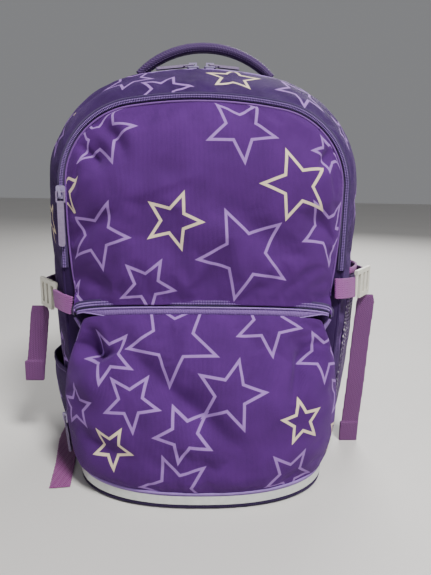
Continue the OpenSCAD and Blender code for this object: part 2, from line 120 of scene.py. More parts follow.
def make_camera():
    """A camera in front of the pack, a little above it and looking down."""
    pitch, turn, roll = (math.radians(a) for a in (CAM_PITCH, CAM_TURN, CAM_ROLL))
    ahead = Vector((-math.sin(turn) * math.cos(pitch), math.cos(turn) * math.cos(pitch), -math.sin(pitch)))
    right = ahead.cross(Vector((0, 0, 1))).normalized()
    up = right.cross(ahead)
    right, up = right * math.cos(roll) + up * math.sin(roll), up * math.cos(roll) - right * math.sin(roll)
    data = bpy.data.cameras.new("camera")
    data.sensor_width = SENSOR
    data.lens = LENS
    cam = bpy.data.objects.new("camera", data)
    bpy.context.scene.collection.objects.link(cam)
    axes = Matrix((right, up, -ahead)).transposed().to_4x4()
    cam.matrix_world = Matrix.Translation(Vector(CAMERA_AT) * MM) @ axes
    bpy.context.scene.camera = cam


make_camera()


def area_light(name, at, size, watts):
    """A round soft lamp, in metres and watts."""
    data = bpy.data.lights.new(name, "AREA")
    data.shape, data.size, data.energy = "DISK", size, watts
    lamp = bpy.data.objects.new(name, data)
    bpy.context.scene.collection.objects.link(lamp)
    lamp.location = at
    lamp.rotation_euler = (LIT_POINT - Vector(at)).to_track_quat("-Z", "Y").to_euler()


area_light("key", (0.42, -0.85, 1.55), 0.4, 44)
area_light("fill", (-1.6, -1.2, 0.9), 1.2, 3)
area_light("rear", (0.6, 1.6, 1.3), 1.2, 34)
world = bpy.data.worlds.new("studio")
bpy.context.scene.world = world
world.use_nodes = True
sky = world.node_tree.nodes["Background"].inputs
sky["Color"].default_value = (0.84, 0.85, 0.88, 1)
sky["Strength"].default_value = 0.27

# ---------------------------------------------------------------- material tools


class Tree:
    """A new material's node tree, with short ways to add and join nodes."""

    def __init__(self, name):
        self.material = bpy.data.materials.new(name)
        self.material.use_nodes = True
        self.nodes = self.material.node_tree.nodes
        self.links = self.material.node_tree.links
        self.shader = self.nodes["Principled BSDF"]

    def set(self, **values):
        for key, value in values.items():
            self.shader.inputs[key.replace("_", " ")].default_value = value
        return self

    def add(self, kind, *inputs, out=0, **props):
        node = self.nodes.new(kind)
        for key, value in props.items():
            setattr(node, key, value)
        for i, value in enumerate(inputs):
            if isinstance(value, bpy.types.NodeSocket):
                self.links.new(value, node.inputs[i])
            elif value is not None:
                node.inputs[i].default_value = value
        return node.outputs[out]

    def math(self, operation, *inputs):
        return self.add("ShaderNodeMath", *inputs, operation=operation)

    def mix(self, factor, a, b):
        node = self.nodes.new("ShaderNodeMix")
        node.data_type = "RGBA"
        for socket, value in ((node.inputs[0], factor), (node.inputs[6], a), (node.inputs[7], b)):
            if isinstance(value, bpy.types.NodeSocket):
                self.links.new(value, socket)
            else:
                socket.default_value = value
        return node.outputs[2]

    def to(self, output, name):
        self.links.new(output, self.shader.inputs[name])
        return self

    def bump(self, height, strength, distance):
        node = self.nodes.new("ShaderNodeBump")
        node.inputs["Strength"].default_value = strength
        node.inputs["Distance"].default_value = distance
        self.links.new(height, node.inputs["Height"])
        self.links.new(node.outputs[0], self.shader.inputs["Normal"])
        return self


def star_group():
    """A five-pointed outline star: 1 on its line, 0 elsewhere. All lengths in millimetres."""
    group = bpy.data.node_groups.new("outline_star", "ShaderNodeTree")
    for name, kind in (("Place", "NodeSocketVector"), ("Centre", "NodeSocketVector"),
                       ("Radius", "NodeSocketFloat"), ("Turn", "NodeSocketFloat"),
                       ("Line", "NodeSocketFloat")):
        group.interface.new_socket(name=name, in_out="INPUT", socket_type=kind)
    group.interface.new_socket(name="Mask", in_out="OUTPUT", socket_type="NodeSocketFloat")
    source = group.nodes.new("NodeGroupInput").outputs
    sink = group.nodes.new("NodeGroupOutput")

    def maths(operation, *inputs):
        node = group.nodes.new("ShaderNodeMath")
        node.operation = operation
        for i, value in enumerate(inputs):
            if isinstance(value, bpy.types.NodeSocket):
                group.links.new(value, node.inputs[i])
            else:
                node.inputs[i].default_value = value
        return node.outputs[0]

    away = group.nodes.new("ShaderNodeVectorMath")
    away.operation = "SUBTRACT"
    group.links.new(source["Place"], away.inputs[0])
    group.links.new(source["Centre"], away.inputs[1])
    parts = group.nodes.new("ShaderNodeSeparateXYZ")
    group.links.new(away.outputs[0], parts.inputs[0])
    x, y = parts.outputs[0], parts.outputs[1]
    reach = maths("SQRT", maths("ADD", maths("MULTIPLY", x, x), maths("MULTIPLY", y, y)))
    fifth = 2 * math.pi / 5
    angle = maths("ABSOLUTE", maths("WRAP", maths("SUBTRACT", maths("ARCTAN2", y, x), source["Turn"]),
                                    fifth / 2, -fifth / 2))
    inner = 0.45                          # radius of the notches over that of the tips
    edge = Vector((inner * math.cos(fifth / 2) - 1, inner * math.sin(fifth / 2), 0)).normalized()
    across = maths("ADD",
                   maths("MULTIPLY", maths("SUBTRACT", maths("MULTIPLY", reach, maths("COSINE", angle)),
                                           source["Radius"]), edge.y),
                   maths("MULTIPLY", maths("MULTIPLY", reach, maths("SINE", angle)), -edge.x))
    inside = maths("SUBTRACT", maths("MULTIPLY", source["Line"], 0.5), maths("ABSOLUTE", across))
    soft = maths("MULTIPLY", inside, 3.0)
    node = group.nodes.new("ShaderNodeClamp")
    group.links.new(soft, node.inputs[0])
    group.links.new(node.outputs[0], sink.inputs[0])
    return group


STAR = star_group()
LILAC = (0.36, 0.19, 0.55, 1)
CREAM = (0.85, 0.70, 0.48, 1)
PLACED_LINE, SCATTERED_LINE = 2.9, 2.8   # how wide the stars are drawn


def star_mask(tree, place, centre, radius, turn, line):
    """One outline star in a material."""
    node = tree.nodes.new("ShaderNodeGroup")
    node.node_tree = STAR
    for name, value in (("Place", place), ("Centre", centre), ("Radius", radius), ("Turn", turn),
                        ("Line", line)):
        if isinstance(value, bpy.types.NodeSocket):
            tree.links.new(value, node.inputs[name])
        else:
            node.inputs[name].default_value = value
    return node.outputs[0]


def placed_stars(tree, place, stars):
    """Masks of the lilac and the cream stars of a list of (u, v, radius, turn in degrees, cream)."""
    masks = [None, None]
    for u, v, radius, turn, cream in stars:
        mask = star_mask(tree, place, (u, v, 0), radius, math.radians(turn), PLACED_LINE)
        masks[cream] = mask if masks[cream] is None else tree.math("MAXIMUM", masks[cream], mask)
    return masks


def scattered_stars(tree, place, cell):
    """One star of random size, turn and colour in each cell of a grid."""
    scaled = tree.add("ShaderNodeVectorMath", place, (1 / cell, 1 / cell, 0), operation="MULTIPLY")
    corner = tree.add("ShaderNodeVectorMath", scaled, operation="FLOOR")
    random = tree.add("ShaderNodeTexWhiteNoise", corner, out=1, noise_dimensions="2D")
    split = tree.nodes.new("ShaderNodeSeparateXYZ")
    tree.links.new(random, split.inputs[0])
    jitter = tree.add("ShaderNodeVectorMath", random, (0.36, 0.36, 0), operation="MULTIPLY")
    centre = tree.add("ShaderNodeVectorMath", corner, jitter, operation="ADD")
    centre = tree.add("ShaderNodeVectorMath", centre, (0.32, 0.32, 0), operation="ADD")
    centre = tree.add("ShaderNodeVectorMath", centre, (cell, cell, 0), operation="MULTIPLY")
    radius = tree.math("MULTIPLY_ADD", split.outputs[2], cell * 0.10, cell * 0.21)
    turn = tree.math("MULTIPLY", split.outputs[0], 6.3)   # up to a whole turn
    mask = star_mask(tree, place, centre, radius, turn, SCATTERED_LINE)
    pale = tree.math("GREATER_THAN", split.outputs[1], 0.78)
    return [tree.math("MULTIPLY", mask, tree.math("SUBTRACT", 1.0, pale)), tree.math("MULTIPLY", mask, pale)]


def cloth_place(tree):
    """A piece's cloth coordinates, whole and as u and v, in millimetres."""
    place = tree.add("ShaderNodeUVMap", out=0, uv_map="cloth")
    split = tree.nodes.new("ShaderNodeSeparateXYZ")
    tree.links.new(place, split.inputs[0])
    return place, split.outputs[0], split.outputs[1]


def shaded(colour, share):
    """The colour made darker or lighter by a share."""
    return tuple(min(1, c * share) for c in colour[:3]) + (1,)


def cloth_material(name, colour, stars=None, cell=None, beyond=0, rough=0.72, weave=1.1, relief=0.4,
                   shade=0.18):
    """Woven cloth: crossing threads in UVs that are in millimetres, and soft colour variation."""
    tree = Tree(name)
    place, u, v = cloth_place(tree)
    warp = tree.math("SINE", tree.math("MULTIPLY", u, 2 * math.pi / weave))
    weft = tree.math("SINE", tree.math("MULTIPLY", tree.math("ADD", v, tree.math("MULTIPLY", u, 0.5)),
                                       2 * math.pi / (weave * 0.8)))
    threads = tree.math("ADD", warp, tree.math("MULTIPLY", weft, 0.6))
    broad = tree.add("ShaderNodeTexNoise", place, None, 0.035, 3.0, noise_dimensions="2D")
    fine = tree.add("ShaderNodeTexNoise", place, None, 1.3, 2.0, noise_dimensions="2D")
    dark, light = shaded(colour, 1 - 2.2 * shade), shaded(colour, 1 + 1.6 * shade)
    tone = tree.math("ADD", tree.math("MULTIPLY_ADD", broad, 0.8, 0.1),
                     tree.math("MULTIPLY", tree.math("SUBTRACT", fine, 0.5), 0.7))
    tone = tree.math("ADD", tone, tree.math("MULTIPLY", threads, 0.13))
    body = tree.mix(tree.add("ShaderNodeClamp", tone), dark, light)
    masks = placed_stars(tree, place, stars) if stars else None
    if cell:
        far = tree.math("GREATER_THAN", tree.math("ABSOLUTE", u), beyond)
        loose = [tree.math("MULTIPLY", mask, far) for mask in scattered_stars(tree, place, cell)]
        masks = [tree.math("MAXIMUM", a, b) for a, b in zip(masks, loose)] if masks else loose
    if masks:
        grain = tree.math("MULTIPLY_ADD", fine, 0.35, 0.72)
        for mask, ink in zip(masks, (LILAC, CREAM)):
            if mask is not None:
                body = tree.mix(tree.math("MULTIPLY", mask, grain), body, ink)
    tree.to(body, "Base Color")
    tree.set(Roughness=rough, Sheen_Weight=0.10, Sheen_Roughness=0.4,
             Sheen_Tint=(0.7, 0.45, 1.0, 1), Specular_IOR_Level=0.12)
    tree.bump(tree.math("ADD", threads, tree.math("MULTIPLY", fine, 1.2)), relief, 0.0004)
    return tree.material


def webbing_material(name, colour, sheen=0.3, rib=2.2):
    """Webbing: chevron ribs along the strap's length, in UVs that are in millimetres."""
    tree = Tree(name)
    place, u, v = cloth_place(tree)
    fold = tree.math("PINGPONG", v, 2.6)
    rows = tree.math("SINE", tree.math("MULTIPLY", tree.math("ADD", u, fold), 2 * math.pi / rib))
    ribs = tree.math("SINE", tree.math("MULTIPLY", v, 2 * math.pi / 1.7))
    fine = tree.add("ShaderNodeTexNoise", place, None, 0.9, 3.0, noise_dimensions="2D")
    tone = tree.math("ADD", tree.math("MULTIPLY_ADD", rows, 0.22, 0.28), tree.math("MULTIPLY", fine, 0.5))
    dark, light = shaded(colour, 0.66), shaded(colour, 1.25)
    tree.to(tree.mix(tree.add("ShaderNodeClamp", tone), dark, light), "Base Color")
    tree.set(Roughness=0.55, Sheen_Weight=sheen, Sheen_Roughness=0.35, Specular_IOR_Level=0.4)
    tree.bump(tree.math("ADD", rows, tree.math("MULTIPLY", ribs, 0.8)), 0.5, 0.0005)
    return tree.material


def solid_material(name, colour, rough=0.4, grain=60, mottle=0.1, relief=0.08, metal=0.0, coat=0.0):
    """Plastic or metal with slight mottling and grain, in object space."""
    tree = Tree(name)
    place = tree.add("ShaderNodeTexCoord", out=3)
    broad = tree.add("ShaderNodeTexNoise", place, None, grain, 4.0)
    fine = tree.add("ShaderNodeTexNoise", place, None, grain * 18, 3.0)
    dark, light = shaded(colour, 1 - 1.6 * mottle), shaded(colour, 1 + mottle)
    tree.to(tree.mix(broad, dark, light), "Base Color")
    tree.to(tree.math("MULTIPLY_ADD", fine, 0.18, rough - 0.09), "Roughness")
    tree.set(Metallic=metal, Coat_Weight=coat, Coat_Roughness=0.3)
    tree.bump(fine, relief, 0.0004)
    return tree.material


# ---------------------------------------------------------------- geometry tools (millimetres)


def run_of(line):
    """The distance along a line to each of its points."""
    return np.concatenate([[0], np.cumsum(np.linalg.norm(np.diff(line, axis=0), axis=1))])


def smooth_line(points, n, rounds=True):
    """n points evenly spaced along a smooth curve through the given points."""
    p = np.array(points, float)
    if rounds and len(p) > 2:
        ext = np.vstack([2 * p[0] - p[1], p, 2 * p[-1] - p[-2]])
        t = np.linspace(0, 1, 12, endpoint=False)[:, None]
        fine = [0.5 * (2 * ext[i] + (ext[i + 1] - ext[i - 1]) * t
                       + (2 * ext[i - 1] - 5 * ext[i] + 4 * ext[i + 1] - ext[i + 2]) * t ** 2
                       + (3 * ext[i] - ext[i - 1] - 3 * ext[i + 1] + ext[i + 2]) * t ** 3)
                for i in range(1, len(ext) - 2)]
        p = np.vstack(fine + [p[-1:]])
    along = run_of(p)
    at = np.linspace(0, along[-1], n)
    return np.stack([np.interp(at, along, p[:, k]) for k in range(p.shape[1])], 1)


def arch(half, top, crown, foot, low, span=(0.0, 1.0), n=160):
    """The pack's arched outline, as (x, z), from its right foot to its left foot, or a share of it."""
    flat_half = 70
    lean = math.asin(flat_half / crown)
    bend = (half - flat_half) / (1 - math.sin(lean))
    cx = (crown - bend) * math.sin(lean)
    cz = top - crown + (crown - bend) * math.cos(lean)
    side = [(foot + (half - foot) * (1 - (1 - s) ** 2.5), low + (cz - low) * s)
            for s in np.linspace(0, 1, 30)[:-1]]
    corner = [(cx + bend * math.cos(a), cz + bend * math.sin(a))
              for a in np.linspace(0, math.pi / 2 - lean, 40)[:-1]]
    over = [(crown * math.sin(a), top - crown + crown * math.cos(a)) for a in np.linspace(lean, 0, 12)]
    right = side + corner + over
    full = smooth_line(right + [(-x, z) for x, z in right[-2::-1]], 1200, False)
    i, j = (int(round(s * 1199)) for s in span)
    return smooth_line(full[i:j + 1], n, False)


# Depths of the front wall, the ridge, the back wall's face and the pads
FRONT_Y, RIDGE_Y, REAR_Y, BACK_Y = -46.0, 25.0, 97.0, 104.0
# Heights of the foot, of the end of the straight side, and of the point that seams face away from
FOOT_Z, TURN_Z, HEART_Z = 4.0, 281, 200.0
# At the ridge, where the body is largest: half width, height, half width at the foot, radius over the top
HALF, TOP, FOOT_HALF, CROWN = 160, 399, 148, 340


def body_profile(y):
    """Half width, height, half width at the foot and top radius of the body at depth y."""
    if y < RIDGE_Y:
        t = (RIDGE_Y - y) / (RIDGE_Y - FRONT_Y)
        return HALF - 23 * t ** 1.5, TOP - 32 * t ** 1.4, FOOT_HALF - 28 * t ** 1.4, CROWN + 60 * t
    t = (y - RIDGE_Y) / (BACK_Y - RIDGE_Y)
    return HALF - 19 * t ** 2.2, TOP - 16 * t ** 2.2, FOOT_HALF - 14 * t ** 2, CROWN


def body_outline(y, grow=0.0, n=160, span=(0.0, 1.0)):
    """The body's outline at depth y, matching the CAD panels, as points in space."""
    half, top, foot, crown = body_profile(y)
    line = arch(half + grow, top + grow, crown + grow, foot + grow, FOOT_Z, span, n)
    return np.stack([line[:, 0], np.full(len(line), float(y)), line[:, 1]], 1)


def coons(bottom, right, top, left, nu, nv):
    """A grid of points that fills four edge curves. bottom and top run left to right, the sides upwards."""
    b, t = smooth_line(bottom, nu), smooth_line(top, nu)
    l, r = smooth_line(left, nv), smooth_line(right, nv)
    s = np.linspace(0, 1, nu)[None, :, None]
    v = np.linspace(0, 1, nv)[:, None, None]
    corners = ((1 - v) * ((1 - s) * b[0] + s * b[-1]) + v * ((1 - s) * t[0] + s * t[-1]))
    return (1 - v) * b[None] + v * t[None] + (1 - s) * l[:, None] + s * r[:, None] - corners


def grid_normals(grid):
    """Unit normals at each point of a grid."""
    du = np.gradient(grid, axis=1)
    dv = np.gradient(grid, axis=0)
    n = np.cross(du, dv)
    return n / np.maximum(np.linalg.norm(n, axis=2, keepdims=True), 1e-9)


def arc_uv(grid):
    """Nearly undistorted cloth coordinates of a grid, in millimetres."""
    across = np.linalg.norm(np.diff(grid, axis=1), axis=2)
    mid = grid.shape[1] // 2
    u = np.concatenate([np.zeros((grid.shape[0], 1)), np.cumsum(across, axis=1)], 1)
    u = u - u[:, mid:mid + 1] + grid[:, mid:mid + 1, 0]
    up = np.linalg.norm(np.diff(grid, axis=0), axis=2)
    v = np.concatenate([np.zeros((1, grid.shape[1])), np.cumsum(up, axis=0)], 0)
    middle = grid.shape[0] // 2
    v = v - v[middle:middle + 1] + v[middle:middle + 1, mid:mid + 1]
    return np.stack([u, v], 2)


def points_of(mesh):
    """A mesh's points, in its own units."""
    co = np.empty(len(mesh.vertices) * 3)
    mesh.vertices.foreach_get("co", co)
    return co.reshape(-1, 3)


def set_cloth_uvs(mesh, uvs):
    """Gives a mesh its cloth coordinates, one pair for each point."""
    layer = mesh.uv_layers.get("cloth") or mesh.uv_layers.new(name="cloth")
    corners = np.empty(len(mesh.loops), int)
    mesh.loops.foreach_get("vertex_index", corners)
    layer.data.foreach_set("uv", np.asarray(uvs, float)[corners].ravel())


def facing_out(mesh, towards=None):
    """Turns every face outwards. An open sheet turns to a given direction instead."""
    bm = bmesh.new()
    bm.from_mesh(mesh)
    bmesh.ops.recalc_face_normals(bm, faces=bm.faces)
    if towards is not None and sum(f.normal.dot(towards) * f.calc_area() for f in bm.faces) < 0:
        bmesh.ops.reverse_faces(bm, faces=bm.faces)
    bm.to_mesh(mesh)
    bm.free()
    return mesh


def link(name, mesh, material, slot=None):
    """A new object in the scene, in its material and slot."""
    obj = bpy.data.objects.new(name, mesh)
    bpy.context.scene.collection.objects.link(obj)
    if material:
        mesh.materials.append(material)
    if slot:
        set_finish(obj, slot)
    return obj


def mesh_of(name, points, faces, uvs=None, smooth=True):
    """A mesh from points in millimetres."""
    mesh = bpy.data.meshes.new(name)
    mesh.from_pydata([tuple(p) for p in np.asarray(points, float) * MM], [], faces)
    if uvs is not None:
        set_cloth_uvs(mesh, uvs)
    mesh.polygons.foreach_set("use_smooth", [smooth] * len(mesh.polygons))
    return mesh


def grid_object(name, grid, material, uv=None, slot=None):
    """A sheet through a grid of points."""
    nv, nu = grid.shape[:2]
    faces = [(j * nu + i, j * nu + i + 1, (j + 1) * nu + i + 1, (j + 1) * nu + i)
             for j in range(nv - 1) for i in range(nu - 1)]
    uv = arc_uv(grid) if uv is None else uv
    return link(name, mesh_of(name, grid.reshape(-1, 3), faces, uv.reshape(-1, 2)), material, slot)


def baked(obj):
    """Applies every modifier."""
    graph = bpy.context.evaluated_depsgraph_get()
    mesh = bpy.data.meshes.new_from_object(obj.evaluated_get(graph), preserve_all_data_layers=True,
                                           depsgraph=graph)
    old = obj.data
    obj.modifiers.clear()
    obj.data = mesh
    bpy.data.meshes.remove(old)
    obj.vertex_groups.clear()
    return obj


def thicken(obj, thickness):
    """Gives cloth its thickness and a finer, smoother surface."""
    mod = obj.modifiers.new("smooth", "SUBSURF")
    mod.levels = mod.render_levels = 1
    mod = obj.modifiers.new("thick", "SOLIDIFY")
    mod.thickness = thickness * MM
    mod.offset = -1
    mod.use_even_offset = False
    return baked(obj)


CLOTH_FRAMES, STIFFNESS, BENDING = 16, 12.0, 1.5


def relax(obj, pinned, pressure, grow, reach):
    """A short cloth simulation: the pinned border stays, the rest fills out and wrinkles."""
    scene = bpy.context.scene
    rest = points_of(obj.data)
    group = obj.vertex_groups.new(name="pin")
    for i in np.nonzero(pinned > 0)[0]:
        group.add([int(i)], float(pinned[i]), "REPLACE")
    mod = obj.modifiers.new("cloth", "CLOTH")
    s = mod.settings
    s.quality, s.mass = 6, 0.25
    s.tension_stiffness = s.compression_stiffness = STIFFNESS
    s.shear_stiffness, s.bending_stiffness = STIFFNESS * 0.5, BENDING
    s.air_damping = 2.0
    s.vertex_group_mass = "pin"
    s.use_pressure, s.uniform_pressure_force = True, pressure
    s.shrink_min = -grow
    s.effector_weights.gravity = 0
    mod.point_cache.frame_start, mod.point_cache.frame_end = 1, CLOTH_FRAMES
    for f in range(1, CLOTH_FRAMES + 1):
        scene.frame_set(f)
    graph = bpy.context.evaluated_depsgraph_get()
    made = points_of(obj.evaluated_get(graph).to_mesh())
    obj.evaluated_get(graph).to_mesh_clear()
    move = made - rest
    size = np.linalg.norm(move, axis=1, keepdims=True)
    move *= np.minimum(1, reach * MM / np.maximum(size, 1e-12))
    obj.modifiers.remove(mod)
    obj.vertex_groups.clear()
    obj.data.vertices.foreach_set("co", (rest + move).ravel())
    obj.data.update()
    scene.frame_set(1)
    return obj


def border_pins(nv, nu, soft=3):
    """Weight 1 on a grid's edge, falling to 0 over a few rows."""
    j, i = np.meshgrid(np.arange(nv), np.arange(nu), indexing="ij")
    edge = np.minimum(np.minimum(j, nv - 1 - j), np.minimum(i, nu - 1 - i))
    return np.clip(1 - edge / soft, 0, 1).ravel()


def valley(grid, line, depth, width):
    """Depth of a soft crease along a line of (x, z) points, at each point of a grid."""
    flat = grid[..., [0, 2]]
    line = smooth_line(line, 30)
    best = np.full(flat.shape[:2], 1e9)
    share = np.zeros(flat.shape[:2])
    for k, p in enumerate(line):
        d = np.linalg.norm(flat - p, axis=2)
        near = d < best
        best[near] = d[near]
        share[near] = k / (len(line) - 1)
    taper = np.sqrt(np.clip(np.sin(np.pi * np.clip(share, 0.02, 0.98)), 0, 1))
    return depth * taper * np.exp(-(best / width) ** 2)


def ripple(grid, size, height, seed=0.0, stretch=(1, 1, 1)):
    """Smooth random unevenness."""
    out = np.empty(grid.shape[:2])
    k = np.array(stretch) / size
    for j in range(grid.shape[0]):
        for i in range(grid.shape[1]):
            out[j, i] = noise.noise(Vector(grid[j, i] * k) + Vector((seed, seed * 0.7, 0)))
    return out * height


def frames_along(line, normals):
    """Tangent, across and out directions along a line."""
    tangent = np.gradient(line, axis=0)
    tangent /= np.linalg.norm(tangent, axis=1, keepdims=True)
    out = normals - tangent * np.sum(normals * tangent, axis=1, keepdims=True)
    out /= np.maximum(np.linalg.norm(out, axis=1, keepdims=True), 1e-9)
    return tangent, np.cross(tangent, out), out


def sweep(name, line, normals, section, material, slot=None, smooth=True, closed=False):
    """Sweeps a closed section of (across, out) points along a line."""
    line, normals = np.asarray(line, float), np.asarray(normals, float)
    if normals.ndim == 1:
        normals = np.tile(normals, (len(line), 1))
    tangent, across, out = frames_along(line, normals)
    if closed:
        tangent = np.roll(line, -1, axis=0) - np.roll(line, 1, axis=0)
        tangent /= np.linalg.norm(tangent, axis=1, keepdims=True)
        across = np.cross(tangent, out)
    section = np.array(section, float)
    if section.ndim == 2:
        section = np.tile(section, (len(line), 1, 1))
    n, m = section.shape[:2]
    points = (line[:, None] + across[:, None] * section[:, :, :1] + out[:, None]
              * section[:, :, 1:]).reshape(-1, 3)
    rim, run = run_of(section[0]), run_of(line)
    uv = np.stack([np.repeat(run, m), np.tile(rim, n)], 1)
    faces = []
    for i in range(n if closed else n - 1):
        k = (i + 1) % n
        for j in range(m):
            faces.append((i * m + j, i * m + (j + 1) % m, k * m + (j + 1) % m, k * m + j))
    if not closed:
        faces += [tuple(range(m - 1, -1, -1)), tuple((n - 1) * m + j for j in range(m))]
    mesh = mesh_of(name, points, faces, uv, smooth)
    return link(name, facing_out(mesh), material, slot)


def flat_section(width, thick, lift=0.0, rounds=0.35):
    """Section of webbing: a flat strip with eased edges."""
    w, t = width / 2, thick / 2
    return [(-w, lift - t * 0.4), (-w + rounds, lift - t), (w - rounds, lift - t), (w, lift - t * 0.4),
            (w, lift + t * 0.4), (w - rounds, lift + t), (-w + rounds, lift + t), (-w, lift + t * 0.4)]


def round_section(radius, sides):
    """Section of a cord or a piping."""
    return [(radius * math.cos(a), radius * math.sin(a))
            for a in np.linspace(0, 2 * math.pi, sides, endpoint=False)]


def scatter_blocks(name, line, normals, step, size, material, slot=None, shift=0.0, lift=0.0, tilt=0.0):
    """Zip teeth or stitches at even steps along a line. size is (along, across, out)."""
    line = np.asarray(line, float)
    normals = np.asarray(normals, float)
    if normals.ndim == 1:
        normals = np.tile(normals, (len(line), 1))
    along = run_of(line)
    n = max(2, int(along[-1] / step))
    at = (np.arange(n) + 0.5) * along[-1] / n
    p = np.stack([np.interp(at, along, line[:, k]) for k in range(3)], 1)
    q = np.stack([np.interp(at, along, normals[:, k]) for k in range(3)], 1)
    t, a, o = frames_along(p, q)
    turned = t * math.cos(tilt) + a * math.sin(tilt)
    a2 = a * math.cos(tilt) - t * math.sin(tilt)
    unit = [(-1, -0.6, -1), (-1, 0.6, -1), (1, 0.6, -1), (1, -0.6, -1), (-0.7, -0.5, 1), (-0.7, 0.5, 1),
            (0.7, 0.5, 1),
            (0.7, -0.5, 1), (-1, -1, 0), (-1, 1, 0), (1, 1, 0), (1, -1, 0)]
    quads = [(0, 1, 2, 3), (7, 6, 5, 4), (0, 8, 9, 1), (1, 9, 10, 2), (2, 10, 11, 3), (3, 11, 8, 0),
             (8, 4, 5, 9),
             (9, 5, 6, 10), (10, 6, 7, 11), (11, 7, 4, 8)]
    points, faces, uv = [], [], []
    for i in range(n):
        c = p[i] + a[i] * shift + o[i] * lift
        for x, y, z in unit:
            points.append(c + turned[i] * x * size[0] / 2 + a2[i] * y * size[1] / 2 + o[i] * z * size[2] / 2)
            uv.append((at[i] + x, y))
        faces += [tuple(12 * i + k for k in f) for f in quads]
    mesh = mesh_of(name, points, faces, uv)
    return link(name, facing_out(mesh), material, slot)


def joined(name, objects):
    """One object made of several."""
    bm = bmesh.new()
    materials = []
    for o in objects:
        for m in o.data.materials:
            if m not in materials:
                materials.append(m)
    merged = bpy.data.meshes.new(name)
    for m in materials:
        merged.materials.append(m)
    for o in objects:
        mesh = o.data
        table = [materials.index(m) for m in mesh.materials] or [0]
        index = np.empty(len(mesh.polygons), int)
        mesh.polygons.foreach_get("material_index", index)
        mesh.polygons.foreach_set("material_index", np.array(table)[index])
        mesh.transform(o.matrix_world)
        bm.from_mesh(mesh)
    bm.to_mesh(merged)
    bm.free()
    slot = objects[0].get("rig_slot")
    for o in objects:
        bpy.data.objects.remove(o)
    return link(name, merged, None, slot)


# ---------------------------------------------------------------- materials

PANEL = (0.078, 0.018, 0.150, 1)
# Painted shade: the panels' purple print, made about half as bright for the cloth over the top and down the
# sides, where light falls at a grazing angle.
SIDE_CLOTH_WITH_PAINTED_SHADE = (0.036, 0.012, 0.078, 1)
PLAIN = (0.028, 0.010, 0.060, 1)

# Star sizes, tip to middle, in millimetres
SMALL, MEDIUM, LARGE, HUGE = 19, 25, 31, 42
LILAC_INK, CREAM_INK = 0, 1

# The print. Each star is (across, up, size, lean, ink): across runs from -1 at the panel's left
# edge to 1 at its right, up from 0 to 1, and lean is how far its top tip leans to the right, in degrees.
UPPER_PRINT = [
    (-0.75, 0.85, LARGE, 15, LILAC_INK), (0.25, 0.85, LARGE, 30, LILAC_INK),
    (0.6, 0.6, LARGE, -20, CREAM_INK),
    (0.9, 0.8, SMALL, -30, LILAC_INK), (-1.05, 0.6, MEDIUM, -10, CREAM_INK),
    (-0.2, 0.4, MEDIUM, 20, CREAM_INK),
    (-0.7, 0.35, LARGE, 25, LILAC_INK), (-0.35, 0.1, MEDIUM, 30, LILAC_INK),
    (0.25, 0.25, HUGE, -25, LILAC_INK),
    (0.85, 0.4, LARGE, 30, LILAC_INK), (-0.9, 0.05, SMALL, 30, LILAC_INK),
]
LOWER_PRINT = [
    (-0.2, 0.85, HUGE, 40, LILAC_INK), (-0.6, 0.75, MEDIUM, -30, LILAC_INK),
    (-0.4, 0.5, MEDIUM, 30, LILAC_INK),
    (-0.75, 0.45, SMALL, 0, LILAC_INK), (-0.5, 0.25, SMALL, 30, CREAM_INK),
    (-0.1, 0.35, MEDIUM, -25, LILAC_INK),
    (-0.15, 0.05, LARGE, -20, LILAC_INK), (0.15, 0.55, LARGE, 15, LILAC_INK),
    (0.45, 0.95, LARGE, 30, LILAC_INK),
    (0.8, 0.75, MEDIUM, -30, LILAC_INK), (0.55, 0.4, SMALL, -10, CREAM_INK),
    (0.95, 0.5, MEDIUM, 15, LILAC_INK),
    (0.95, 0.25, MEDIUM, 10, CREAM_INK), (0.5, 0.1, MEDIUM, 30, LILAC_INK),
]
# Over the top, as places on the gusset's own cloth: (u, v, radius, turn, ink)
TOP_PRINT = [
    (-30, 40, MEDIUM, 50, CREAM_INK), (35, 65, MEDIUM, 35, LILAC_INK), (70, 30, MEDIUM, 10, LILAC_INK),
    (-95, 45, MEDIUM, 20, LILAC_INK),
]


def laid_out(layout, uv):
    """Stars of a print as (u, v, radius, turn, ink) on a panel whose cloth coordinates are uv."""
    rows, columns = uv.shape[:2]
    stars = []
    for across, up, size, lean, ink in layout:
        row = uv[int(round(up * (rows - 1)))]
        middle, reach = (row[0, 0] + row[-1, 0]) / 2, (row[-1, 0] - row[0, 0]) / 2
        height = uv[int(round(up * (rows - 1))), columns // 2, 1]
        stars.append((middle + across * reach, height, size, 90 - lean, ink))
    return stars


# The top and side print cloths carry that painted shade in their base colour.
m_side = cloth_material("side_print", SIDE_CLOTH_WITH_PAINTED_SHADE, cell=66)
m_front_side = cloth_material("front_side_print", SIDE_CLOTH_WITH_PAINTED_SHADE, stars=TOP_PRINT, cell=66, beyond=128)
m_edge = solid_material("turned_edge", (0.15, 0.05, 0.26), rough=0.7, grain=260, relief=0.4)
m_plain = cloth_material("plain_cloth", PLAIN, shade=0.12)
m_lining = cloth_material("lining", (0.035, 0.016, 0.07, 1), weave=1.6)
m_base = cloth_material("base_cloth", (0.030, 0.018, 0.055, 1), weave=1.9, relief=0.5, rough=0.75)
m_band = webbing_material("woven_band", (0.20, 0.10, 0.34, 1), rib=1.6, sheen=0.1)
m_tape = webbing_material("zip_tape", (0.040, 0.018, 0.085, 1), rib=1.3, sheen=0.05)
m_teeth = solid_material("zip_coil", (0.21, 0.115, 0.36), rough=0.45, grain=120)
m_piping = solid_material("piping", (0.27, 0.15, 0.46), rough=0.6, grain=300, mottle=0.15, relief=0.4)
m_slit = solid_material("slit", (0.012, 0.006, 0.03), rough=0.9, relief=0.2)
